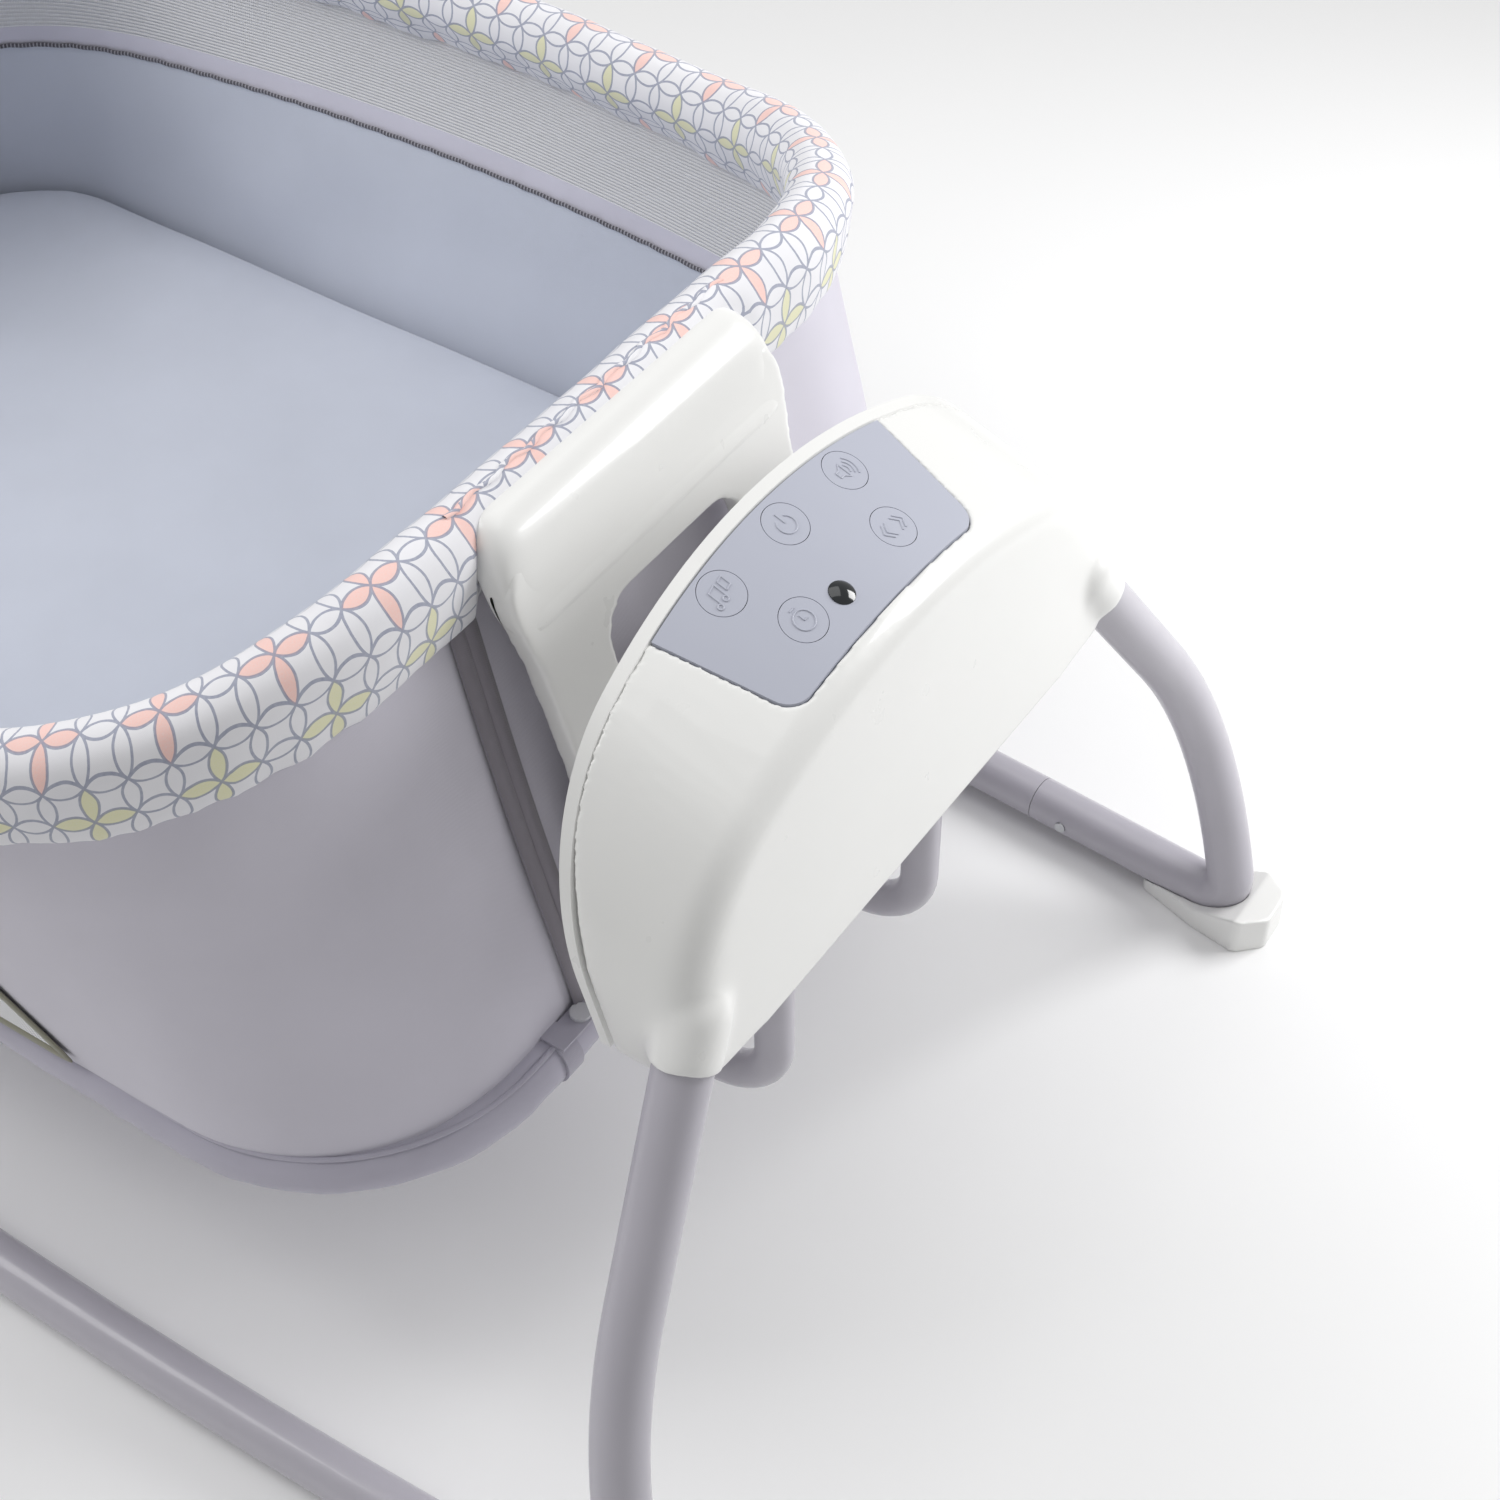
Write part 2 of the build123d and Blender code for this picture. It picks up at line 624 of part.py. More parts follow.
def wall_outline(half_length, half_width, side_bow, corner, inset):
    """Plan of the fabric wall: nearly straight ends, bowed sides and round corners."""
    end_bow = 2
    corner_x, corner_y = half_length - end_bow, half_width - side_bow
    edges = [
        ThreePointArc((corner_x, -corner_y), (half_length, 0), (corner_x, corner_y)),
        ThreePointArc((corner_x, corner_y), (0, half_width), (-corner_x, corner_y)),
        ThreePointArc((-corner_x, corner_y), (-half_length, 0), (-corner_x, -corner_y)),
        ThreePointArc((-corner_x, -corner_y), (0, -half_width), (corner_x, -corner_y)),
    ]
    face = make_face(Curve() + edges)
    face = fillet(face.vertices(), corner)
    return offset(face, -inset) if inset else face


def wall_form(inset):
    low = wall_outline(347.5, 242, 3, RING_CORNER, inset)
    high = wall_outline(319, 294, RIM_SIDE_BOW, RIM_CORNER, inset)
    return loft([Pos(0, 0, WALL_BOTTOM_Z) * low, Pos(0, 0, WALL_TOP_Z) * high], ruled=True)


def under_sleeve():
    """Block below the sleeve's lower edge, which dips towards the middle of the sides."""
    gap = SLEEVE_DROP + 1
    end_z, middle_z = RIM_END_Z - gap, RIM_MIDDLE_Z - gap
    edge = [(360, end_z), (RIM_HALF_LENGTH, end_z), (160, middle_z + 2), (60, middle_z)]
    mirrored = [(-x, z) for x, z in reversed(edge)]
    outline = make_face(Polyline(*edge, *mirrored, (-360, 100), (360, 100), close=True))
    return extrude(Plane.XZ * outline, 400, both=True)


def window_column(y_sign):
    """Arched mesh window through one side wall."""
    arch = ThreePointArc((WINDOW_HALF - 25, WINDOW_SHOULDER_Z), (0, WINDOW_TOP_Z),
                         (-WINDOW_HALF + 25, WINDOW_SHOULDER_Z))
    sides = Polyline((-WINDOW_HALF + 25, WINDOW_SHOULDER_Z), (-WINDOW_HALF, WINDOW_BOTTOM_Z),
                     (WINDOW_HALF, WINDOW_BOTTOM_Z), (WINDOW_HALF - 25, WINDOW_SHOULDER_Z))
    face = make_face(Curve() + [arch, *sides.edges()])
    column = extrude(Plane.XZ * face, 400, both=True)
    return column & block((-400, 400), (0, 400) if y_sign > 0 else (-400, 0), (100, 500))


def build_fabric():
    trim = under_sleeve()
    shell = (wall_form(0) - wall_form(WALL_THICKNESS)) & trim
    net = (wall_form(1.4) - wall_form(2.6)) & trim
    wide, tall = (-400, 400), (100, 500)
    side_x = (-SIDE_PANEL_HALF, SIDE_PANEL_HALF)
    sides = {"left": (block(side_x, (0, 400), tall), 1), "right": (block(side_x, (-400, 0), tall), -1)}
    for name, (region, sign) in sides.items():
        column = window_column(sign)
        add(f"side_fabric_{name}", (shell & region) - column)
        add(f"mesh_window_{name}", net & column)
    add_both_ends("end_fabric", shell & block((SIDE_PANEL_HALF, 400), wide, tall))


def build_bassinet_frame():
    ring_path = u_path(RING_HALF_LENGTH, RING_HALF_WIDTH, RING_Z)
    bends = [RING_CORNER, RING_CORNER]
    add_both_ends("ring_tube", pipe(ring_path, bends, RING_TUBE_RADIUS, TUBE_WALL))
    casing = rod(ring_path, bends, RING_RADIUS) - rod(ring_path, bends, RING_TUBE_RADIUS + FIT_GAP)
    add_both_ends("ring_casing", casing)
    rim = pipe(RIM_PATH, RIM_BENDS, RIM_TUBE_RADIUS, TUBE_WALL) - rim_screw_holes(2.4)
    add_both_ends("rim_tube", rim)
    sleeve = rim_sleeve_half()
    add("rim_sleeve", sleeve + mirrored_end(sleeve) - rim_screw_holes(2.5) - mirrored_end(rim_screw_holes(2.5)))


# ---- End plate ----
PLATE_HIGH = (331.2, 424)
PLATE_MIDDLE = (360.5, 315)
PLATE_LOW = (361, 183)
RIM_SCREW_Y = 60


def plate_slab():
    """Side view of the plate: leaning above, upright below, 12 mm thick."""
    outer_top = Line(PLATE_HIGH, PLATE_MIDDLE)
    lower = Line(PLATE_MIDDLE, PLATE_LOW)
    outer_side = fillet_corner(outer_top, lower, 160)
    return outer_side


def fillet_corner(first, second, radius):
    corner = first @ 1
    return FilletPolyline(first @ 0, corner, second @ 1, radius=radius)


def end_plate():
    """Handle plate of the bassinet, from the rim down to the bottom ring."""
    side = trace_slab(plate_slab(), PLATE_THICKNESS)
    slab = extrude(Plane.XZ * side, 120, both=True)
    outline = Polyline((-80, 170), (80, 170), (85, 320), (88, 377), (98, 432), (-98, 432),
                       (-88, 377), (-85, 320), close=True)
    face = make_face(outline)
    face = fillet(face.vertices().sort_by(Axis.Y)[-2:], 26)
    opening = Pos(0, 356) * RectangleRounded(96, 50, 20)
    front = Plane(origin=(300, 0, 0), x_dir=(0, 1, 0), z_dir=(1, 0, 0))
    plate = slab & extrude(front * (face - opening), 100)
    plate = plate + block((RING_HALF_LENGTH + 1, 361), (-20, 20), (168, 190))
    ring = cylinder_between((RING_HALF_LENGTH, -90, RING_Z), (RING_HALF_LENGTH, 90, RING_Z), RING_RADIUS + 0.3)
    blind = block((300, PLATE_HIGH[0] + 2), (-100, 100), (400, 430))
    return plate - ring - (rim_screw_holes(2.1) & blind)


def trace_slab(outer_side, thickness):
    """Face between a line and its copy moved towards the bassinet."""
    inner_side = Pos(-thickness * 1.03, 0, 0) * outer_side
    caps = [Line(outer_side @ 0, inner_side @ 0), Line(outer_side @ 1, inner_side @ 1)]
    return make_face(Curve() + [*outer_side.edges(), *inner_side.edges(), *caps])


def rim_screw_holes(radius):
    z = RIM_END_Z
    return along_x(290, 328, RIM_SCREW_Y, z, radius) + along_x(290, 328, -RIM_SCREW_Y, z, radius)


def rim_screws():
    screws = []
    for y in (RIM_SCREW_Y, -RIM_SCREW_Y):
        screw = along_x(RIM_HALF_LENGTH - 8, 327, y, RIM_END_Z, 2)
        screws.append(screw)
    return screws


# ---- Trim and soft parts ----
STRAP_Y = 113
STRAP_HALF = 5.5


def strap_loop():
    """Webbing loop round the ring's end bar, with a short tail towards the plate, outside the wall."""
    x, z = RING_HALF_LENGTH, RING_Z
    low, high = (x, STRAP_Y - STRAP_HALF, z), (x, STRAP_Y + STRAP_HALF, z)
    loop = cylinder_between(low, high, RING_RADIUS + 1.6) - cylinder_between(low, high, RING_RADIUS + 0.2)
    tail = block((x, x + 12), (STRAP_Y - 22, STRAP_Y + STRAP_HALF), (z + 12.9, z + 14.1))
    return loop + tail


def snap_cap():
    return Pos(RING_HALF_LENGTH + 6, STRAP_Y - 15, RING_Z + 15.2) * Cylinder(5, 2)


def flat_pad(half_length, half_width, corner, low_z, thickness):
    return extrude(Pos(0, 0, low_z) * RectangleRounded(2 * half_length, 2 * half_width, corner), thickness)


def build_bassinet_trim():
    add_both_ends("end_plate", end_plate())
    screws = rim_screws()
    add("rim_screws", *screws, *[mirrored_end(s) for s in screws])
    add("ring_straps", *at_four_corners(strap_loop()))
    add("snap_buttons", *at_four_corners(snap_cap()))
    add("bottom_cloth", flat_pad(334, 220, 86, 157, 2))
    add("mattress_board", flat_pad(330, 216, 82, 159.3, 5))


def mattress():
    """Foam pad: its foot sits inside the bottom ring and its upper part reaches over the ring."""
    step = MATTRESS_STEP_Z
    foot = flat_pad(MATTRESS_HALF_LENGTH - 4, MATTRESS_FOOT_HALF_WIDTH, 80, MATTRESS_LOW_Z, step - MATTRESS_LOW_Z)
    upper = flat_pad(MATTRESS_HALF_LENGTH, MATTRESS_HALF_WIDTH, 84, step, MATTRESS_TOP_Z - step)
    return foot + fillet(upper.edges().group_by(Axis.Z)[-1], 9)


def cut_inlet_hole():
    """The power inlet passes through the motor cover's left side wall."""
    start, end = (INLET_X, SHOULDER_Y - 30, INLET_Z), (INLET_X, SHOULDER_Y + 10, INLET_Z)
    nodes["housing_cover_motor"] = nodes["housing_cover_motor"] - cylinder_between(start, end, 5.7)


build_base_tubes()
build_housings()
build_panel()
build_swing()
build_base_screws()
build_drive()
build_bassinet_frame()
build_fabric()
build_bassinet_trim()
add("mattress", mattress())
cut_inlet_hole()

os.makedirs("parts", exist_ok=True)
for name, shape in nodes.items():
    export_step(shape, f"parts/{name}.step")
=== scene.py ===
import bpy
import json
import math
from mathutils import Matrix, Vector, noise


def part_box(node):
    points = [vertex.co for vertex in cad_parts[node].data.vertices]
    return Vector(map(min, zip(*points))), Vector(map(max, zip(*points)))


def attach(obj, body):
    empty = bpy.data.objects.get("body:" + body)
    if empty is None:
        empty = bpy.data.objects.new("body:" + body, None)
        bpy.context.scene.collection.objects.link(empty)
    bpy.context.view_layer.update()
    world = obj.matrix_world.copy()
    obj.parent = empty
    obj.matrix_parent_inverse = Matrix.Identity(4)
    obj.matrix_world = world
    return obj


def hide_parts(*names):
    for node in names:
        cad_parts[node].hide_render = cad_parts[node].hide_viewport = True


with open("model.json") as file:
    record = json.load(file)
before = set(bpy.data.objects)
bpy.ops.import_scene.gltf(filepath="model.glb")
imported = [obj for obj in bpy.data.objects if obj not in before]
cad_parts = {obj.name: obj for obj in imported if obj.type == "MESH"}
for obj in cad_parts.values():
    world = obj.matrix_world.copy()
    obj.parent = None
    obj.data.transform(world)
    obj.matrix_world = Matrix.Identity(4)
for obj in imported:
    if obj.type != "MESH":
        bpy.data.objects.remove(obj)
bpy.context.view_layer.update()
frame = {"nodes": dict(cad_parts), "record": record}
scene = bpy.context.scene
MM = 0.001

# ---- Sizes of the soft parts, in metres, as the frame has them ----
RING_Z = sum(v.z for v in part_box("ring_casing_motor")) / 2
RING_RADIUS = 12.5 * MM
RING_LOOP = (348 * MM, 234 * MM, 1 * MM, 100 * MM)
WALL_LOW = (347.5 * MM, 242 * MM, 3 * MM, 100 * MM)
WALL_HIGH = (308 * MM, 287 * MM, 50 * MM, 140 * MM)
RIM_LOOP = (306 * MM, 286 * MM, 50 * MM, 140 * MM)
RIM_MIDDLE_Z = 374 * MM
RIM_RISE = 40 * MM
WALL_LOW_Z = 175 * MM
SEAM_Z = 300 * MM
BAND_TOP_Z = 312 * MM
PRINT_PITCH = 15.5 * MM
PLATE_HALF = 92 * MM
WINDOW_LOW_Z = 186 * MM
WINDOW_SHOULDER_Z = 232 * MM
WINDOW_TOP_Z = 330 * MM
WINDOW_HALF = 185 * MM
WINDOW_SHOULDER_HALF = 160 * MM
END_TAPE_LOW_Z = 180 * MM
END_TAPE_RISE = 218 * MM
TAPE_SECTION = (-7.7, -7.5, -0.5, 0, 0.5, 7.5, 7.7)
PAD_VOXEL = 6 * MM
PAD_SWELL_LIMIT = 6 * MM
PANEL_SLOPE = math.radians(20)
LOOP_QUARTER = 72
HOOD_LEAN = 0.269
SEAM_LEVEL = 340.6 * MM
SEAM_X = 409.6 * MM
SEAM_GAP = 1.1 * MM
SEAM_REACH = 12 * MM


# ---- Camera and studio ----
CAMERA_PLACE = (0.82483, -0.63709, 1.08335)
CAMERA_TURN = (34.937, 45.935, 0.956)
CAMERA_LENS = 61.67


def make_camera():
    """Camera as solved from the photo; its turn is azimuth, elevation and roll in degrees."""
    azimuth, elevation, roll = (math.radians(a) for a in CAMERA_TURN)
    ahead = Vector((-math.sin(azimuth) * math.cos(elevation), math.cos(azimuth) * math.cos(elevation),
                    -math.sin(elevation)))
    level_right = Vector((math.cos(azimuth), math.sin(azimuth), 0))
    level_down = ahead.cross(level_right)
    right = level_right * math.cos(roll) + level_down * math.sin(roll)
    up = level_right * math.sin(roll) - level_down * math.cos(roll)
    data = bpy.data.cameras.new("camera")
    data.sensor_width = 36
    data.lens = CAMERA_LENS
    data.clip_end = 50
    camera = bpy.data.objects.new("camera", data)
    turn = Matrix((right, up, -ahead)).transposed().to_4x4()
    camera.matrix_world = Matrix.Translation(CAMERA_PLACE) @ turn
    scene.collection.objects.link(camera)
    scene.camera = camera


def make_light(name, place, aim, size, watts):
    data = bpy.data.lights.new(name, "AREA")
    data.size = size
    data.energy = watts
    light = bpy.data.objects.new(name, data)
    direction = Vector(aim) - Vector(place)
    light.matrix_world = Matrix.Translation(place) @ direction.to_track_quat("-Z", "Y").to_matrix().to_4x4()
    scene.collection.objects.link(light)


def make_studio():
    world = bpy.data.worlds.new("studio")
    world.use_nodes = True
    world.node_tree.nodes["Background"].inputs["Color"].default_value = (1, 1, 1, 1)
    world.node_tree.nodes["Background"].inputs["Strength"].default_value = 0.4
    scene.world = world
    make_light("key", place=(1.0, 0.85, 0.8), aim=(0.42, 0.12, 0.25), size=0.6, watts=10)
    make_light("fill", place=(-0.9, -0.6, 1.5), aim=(0.1, 0.2, 0.25), size=1.0, watts=14)
    make_light("top", place=(0.0, 0.2, 1.9), aim=(0.1, 0.1, 0.2), size=1.4, watts=7)
    floor = lofted("studio_floor", [[Vector((x, y, 0)) for x in (-25, 25)] for y in (-25, 25)])
    floor.data.materials.append(plain_floor())
    scene.view_settings.view_transform = "Standard"


# ---- Materials ----
def linear(red, green, blue):
    """Linear colour from screen levels of 0 to 255."""
    def one(value):
        value /= 255
        return value / 12.92 if value <= 0.04045 else ((value + 0.055) / 1.055) ** 2.4
    return (one(red), one(green), one(blue), 1)


class Shader:
    """A new material with its Principled shader and short ways to add nodes."""

    def __init__(self, name, roughness=0.5, sheen=0.0, specular=0.5, coat=0.0, on_solid=False):
        self.on_solid = on_solid
        self.material = bpy.data.materials.new(name)
        self.material.use_nodes = True
        self.tree = self.material.node_tree
        self.surface = self.tree.nodes["Principled BSDF"]
        self.surface.inputs["Roughness"].default_value = roughness
        self.surface.inputs["Sheen Weight"].default_value = sheen
        self.surface.inputs["Specular IOR Level"].default_value = specular
        self.surface.inputs["Coat Weight"].default_value = coat

    def put(self, socket, value):
        if isinstance(value, bpy.types.NodeSocket):
            self.tree.links.new(value, socket)
        else:
            socket.default_value = value

    def maths(self, operation, *values):
        node = self.tree.nodes.new("ShaderNodeMath")
        node.operation = operation
        for socket, value in zip(node.inputs, values):
            self.put(socket, value)
        return node.outputs[0]

    def uv(self):
        if self.on_solid:
            return self.place()
        node = self.tree.nodes.new("ShaderNodeUVMap")
        node.uv_map = "cloth"
        return node.outputs[0]

    def place(self):
        return self.tree.nodes.new("ShaderNodeTexCoord").outputs["Object"]

    def split(self, vector):
        node = self.tree.nodes.new("ShaderNodeSeparateXYZ")
        self.put(node.inputs[0], vector)
        return node.outputs["X"], node.outputs["Y"]

    def noise(self, vector, scale, detail=2.0):
        node = self.tree.nodes.new("ShaderNodeTexNoise")
        self.put(node.inputs["Vector"], vector)
        node.inputs["Scale"].default_value = scale
        node.inputs["Detail"].default_value = detail
        return node.outputs["Fac"]

    def mix(self, factor, first, second):
        node = self.tree.nodes.new("ShaderNodeMix")
        node.data_type = "RGBA"
        colours = [s for s in node.inputs if s.type == "RGBA"]
        self.put(node.inputs["Factor"], factor)
        self.put(colours[0], first)
        self.put(colours[1], second)
        return [s for s in node.outputs if s.type == "RGBA"][0]

    def scaled(self, value, low, high):
        node = self.tree.nodes.new("ShaderNodeMapRange")
        self.put(node.inputs["Value"], value)
        node.inputs["To Min"].default_value = low
        node.inputs["To Max"].default_value = high
        return node.outputs[0]

    def bump(self, height, distance, strength=1.0):
        node = self.tree.nodes.new("ShaderNodeBump")
        node.inputs["Strength"].default_value = strength
        node.inputs["Distance"].default_value = distance
        self.put(node.inputs["Height"], height)
        previous = self.surface.inputs["Normal"]
        if previous.is_linked:
            self.put(node.inputs["Normal"], previous.links[0].from_socket)
        self.put(previous, node.outputs[0])

    def colour(self, value):
        self.put(self.surface.inputs["Base Color"], value)

    def weave(self, thread):
        """Over-and-under thread relief at that thread pitch, along the cloth's UVs or the solid's x and y."""
        u, v = self.split(self.uv())
        wave = 2 * math.pi / thread
        across = self.maths("SINE", self.maths("MULTIPLY", u, wave))
        along = self.maths("SINE", self.maths("MULTIPLY", v, wave))
        return self.maths("MULTIPLY_ADD", self.maths("MULTIPLY", across, along), 0.5, 0.5)


def plain_floor():
    shader = Shader("studio_floor", 0.9, specular=0.1)
    shader.colour((0.93, 0.93, 0.93, 1))
    return shader.material


def moulded(name, colour, roughness=0.3, coat=0.25, grain=0.25):
    """Moulded plastic: faint grain, uneven gloss and tone slightly greyer in random patches."""
    shader = Shader(name, roughness, coat=coat)
    place = shader.place()
    soft = shader.noise(place, 9, 3)
    darker = tuple(c * 0.94 for c in colour[:3]) + (1,)
    shader.colour(shader.mix(soft, colour, darker))
    shader.put(shader.surface.inputs["Roughness"],
               shader.scaled(shader.noise(place, 60, 3), roughness - 0.07, roughness + 0.08))
    shader.bump(shader.noise(place, 1400, 2), 0.05 * MM, grain)
    return shader.material


def powder_coat(name, colour):
    shader = Shader(name, 0.34, coat=0.3)
    place = shader.place()
    worn = tuple(c * 0.9 for c in colour[:3]) + (1,)
    shader.colour(shader.mix(shader.noise(place, 24, 4), colour, worn))
    shader.put(shader.surface.inputs["Roughness"], shader.scaled(shader.noise(place, 90, 3), 0.26, 0.44))
    shader.bump(shader.noise(place, 900, 3), 0.08 * MM, 0.35)
    return shader.material


def metal(name, colour, roughness):
    shader = Shader(name, roughness)
    shader.surface.inputs["Metallic"].default_value = 1
    place = shader.place()
    dull = tuple(c * 0.75 for c in colour[:3]) + (1,)
    shader.colour(shader.mix(shader.noise(place, 120, 4), colour, dull))
    shader.bump(shader.noise(place, 2000, 3), 0.03 * MM, 0.4)
    return shader.material


def woven(name, colour, thread=0.7 * MM, sheen=0.25, on_solid=False):
    """Plain weave cloth with uneven threads and soft creases; on_solid is for a frame node, without UVs."""
    shader = Shader(name, 0.85, sheen=sheen, specular=0.25, on_solid=on_solid)
    cloth = shader.uv()
    weave = shader.weave(thread)
    shade = shader.noise(cloth, 14, 4)
    dark = tuple(c * 0.86 for c in colour[:3]) + (1,)
    base = shader.mix(shade, colour, dark)
    # Painted shade: the colour darkens where the weave relief is low, in the hollows between the threads.
    weave_hollow_shade = shader.maths("MULTIPLY", shader.maths("SUBTRACT", 1.0, weave), 0.22)
    shader.colour(shader.mix(weave_hollow_shade, base, tuple(c * 0.55 for c in colour[:3]) + (1,)))
    shader.bump(weave, 0.12 * MM, 0.55)
    shader.bump(shader.noise(cloth, 45, 3), 1.2 * MM, 0.12)
    return shader.material


def printed_cloth():
    """White cloth printed with overlapping circles, some petals coral and some yellow-green."""
    shader = Shader("printed_cloth", 0.8, sheen=0.3, specular=0.25)
    u, v = shader.split(shader.uv())
    wobble = shader.maths("MULTIPLY", shader.noise(shader.uv(), 90, 2), 0.06)
    x = shader.maths("ADD", shader.maths("DIVIDE", u, PRINT_PITCH), wobble)
    y = shader.maths("ADD", shader.maths("DIVIDE", v, PRINT_PITCH), wobble)
    cell_x, cell_y = shader.maths("FLOOR", x), shader.maths("FLOOR", y)
    in_x, in_y = shader.maths("SUBTRACT", x, cell_x), shader.maths("SUBTRACT", y, cell_y)
    radius = math.sqrt(0.5)
    nearest, inside = None, None
    for corner_x in (0.0, 1.0):
        for corner_y in (0.0, 1.0):
            dx = shader.maths("SUBTRACT", in_x, corner_x)
            dy = shader.maths("SUBTRACT", in_y, corner_y)
            square = shader.maths("MULTIPLY_ADD", dx, dx, shader.maths("MULTIPLY", dy, dy))
            distance = shader.maths("SQRT", square)
            edge = shader.maths("ABSOLUTE", shader.maths("SUBTRACT", distance, radius))
            within = shader.maths("LESS_THAN", distance, radius)
            nearest = edge if nearest is None else shader.maths("MINIMUM", nearest, edge)
            inside = within if inside is None else shader.maths("ADD", inside, within)
    petal = shader.maths("GREATER_THAN", inside, 1.5)
    off_x, off_y = shader.maths("SUBTRACT", in_x, 0.5), shader.maths("SUBTRACT", in_y, 0.5)
    far_x, far_y = shader.maths("ABSOLUTE", off_x), shader.maths("ABSOLUTE", off_y)
    sideways = shader.maths("GREATER_THAN", far_x, far_y)
    upright = shader.maths("SUBTRACT", 1.0, sideways)
    next_x = shader.maths("ADD", cell_x, shader.maths("MULTIPLY", shader.maths("SIGN", off_x), sideways))
    next_y = shader.maths("ADD", cell_y, shader.maths("MULTIPLY", shader.maths("SIGN", off_y), upright))

    def flower(column, row, column_start, row_start):
        left = shader.maths("FLOORED_MODULO", shader.maths("SUBTRACT", column, column_start), 3.0)
        up = shader.maths("FLOORED_MODULO", shader.maths("SUBTRACT", row, row_start), 4.0)
        return shader.maths("LESS_THAN", shader.maths("ADD", left, up), 0.5)

    def petals(column_start, row_start):
        here = flower(cell_x, cell_y, column_start, row_start)
        there = flower(next_x, next_y, column_start, row_start)
        return shader.maths("MULTIPLY", petal, shader.maths("MAXIMUM", here, there))

    weave = shader.weave(0.6 * MM)
    ground = shader.mix(shader.noise(shader.uv(), 20, 3), linear(243, 242, 245), linear(228, 228, 233))
    fleck = shader.scaled(shader.noise(shader.uv(), 1500, 2), 0.55, 1.0)
    coral = shader.maths("MULTIPLY", petals(0.0, 0.0), fleck)
    lime = shader.maths("MULTIPLY", petals(1.0, 2.0), fleck)
    tinted = shader.mix(coral, ground, linear(250, 200, 188))
    tinted = shader.mix(lime, tinted, linear(229, 227, 178))
    line = shader.maths("LESS_THAN", nearest, 0.034)
    line = shader.maths("MULTIPLY", line, shader.scaled(shader.noise(shader.uv(), 700, 2), 0.65, 1.0))
    shader.colour(shader.mix(line, tinted, linear(146, 151, 172)))
    shader.bump(weave, 0.1 * MM, 0.5)
    shader.bump(shader.noise(shader.uv(), 60, 3), 1.0 * MM, 0.15)
    return shader.material


def knit_net(name, colour, cell_u, cell_v, hole_share, gap_colour):
    """Open knit: threads around rectangular holes, drawn as relief and shade."""
    shader = Shader(name, 0.8, sheen=0.3, specular=0.25)
    u, v = shader.split(shader.uv())
    wave_u = shader.maths("PINGPONG", shader.maths("DIVIDE", u, cell_u), 0.5)
    wave_v = shader.maths("PINGPONG", shader.maths("DIVIDE", v, cell_v), 0.5)
    hole = shader.maths("MULTIPLY", shader.maths("GREATER_THAN", wave_u, 0.5 - hole_share / 2),
                        shader.maths("GREATER_THAN", wave_v, 0.5 - hole_share / 2))
    shader.colour(shader.mix(hole, colour, gap_colour))
    shader.bump(shader.maths("SUBTRACT", 1.0, hole), 0.5 * MM, 0.8)
    shader.bump(shader.noise(shader.uv(), 1800, 2), 0.1 * MM, 0.4)
    return shader.material


def ribbed_net(name, colour):
    """White lining mesh with raised ribs along the bassinet."""
    shader = Shader(name, 0.8, sheen=0.3, specular=0.25)
    u, v = shader.split(shader.uv())
    rib = shader.maths("SINE", shader.maths("MULTIPLY", v, 2 * math.pi / (3.2 * MM)))
    stitch = shader.maths("SINE", shader.maths("MULTIPLY", u, 2 * math.pi / (1.4 * MM)))
    height = shader.maths("MULTIPLY_ADD", stitch, 0.25, rib)
    # Painted shade: the colour darkens to 0.72 where the rib and stitch relief is low, in the grooves between
    # ribs.
    shade = shader.scaled(height, 0.0, 0.5)
    shader.colour(shader.mix(shade, tuple(c * 0.72 for c in colour[:3]) + (1,), colour))
    shader.bump(height, 0.5 * MM, 0.6)
    return shader.material


def stitched_thread():
    """Overlock seam: dark and pale in turn along it, dark where the stitch relief dips and pale where it
    rises.
    """
    shader = Shader("stitched_thread", 0.8, sheen=0.2)
    u, _ = shader.split(shader.uv())
    thread = shader.maths("SINE", shader.maths("MULTIPLY", u, 2 * math.pi / (2.2 * MM)))
    shader.colour(shader.mix(shader.scaled(thread, 0.0, 0.5), linear(84, 82, 90), linear(214, 213, 222)))
    shader.bump(thread, 0.4 * MM, 0.6)
    return shader.material


# ---- Mesh helpers ----
def new_object(name, vertices, faces):
    mesh = bpy.data.meshes.new(name)
    mesh.from_pydata([tuple(v) for v in vertices], [], faces)
    mesh.update()
    piece = bpy.data.objects.new(name, mesh)
    scene.collection.objects.link(piece)
    return piece


def running_lengths(points):
    total, lengths = 0.0, [0.0]
    for first, second in zip(points, points[1:]):
        total += (second - first).length
        lengths.append(total)
    return lengths


def lofted(name, rows, closed_u=False, closed_v=False, u_length=None, v_start=0.0):
    """Skin over rows of points, with cloth UVs in metres. u_length rescales a closed loop's length."""
    count_u, count_v = len(rows[0]), len(rows)
    middle = rows[count_v // 2]
    us = running_lengths(middle + [middle[0]] if closed_u else middle)
    column = [row[0] for row in rows]
    vs = [v_start + v for v in running_lengths(column + [column[0]] if closed_v else column)]
    if u_length:
        us = [u * u_length / us[-1] for u in us]
    faces, corners = [], []
    for j in range(count_v if closed_v else count_v - 1):
        for i in range(count_u if closed_u else count_u - 1):
            i_next = (i + 1) % count_u
            start, start_next = j * count_u, (j + 1) % count_v * count_u
            faces.append((start + i, start + i_next, start_next + i_next, start_next + i))
            corners += [(us[i], vs[j]), (us[i + 1], vs[j]), (us[i + 1], vs[j + 1]), (us[i], vs[j + 1])]
    piece = new_object(name, [p for row in rows for p in row], faces)
    layer = piece.data.uv_layers.new(name="cloth")
    for loop, corner in zip(layer.data, corners):
        loop.uv = corner
    smooth(piece)
    return piece


def smooth(piece):
    for face in piece.data.polygons:
        face.use_smooth = True


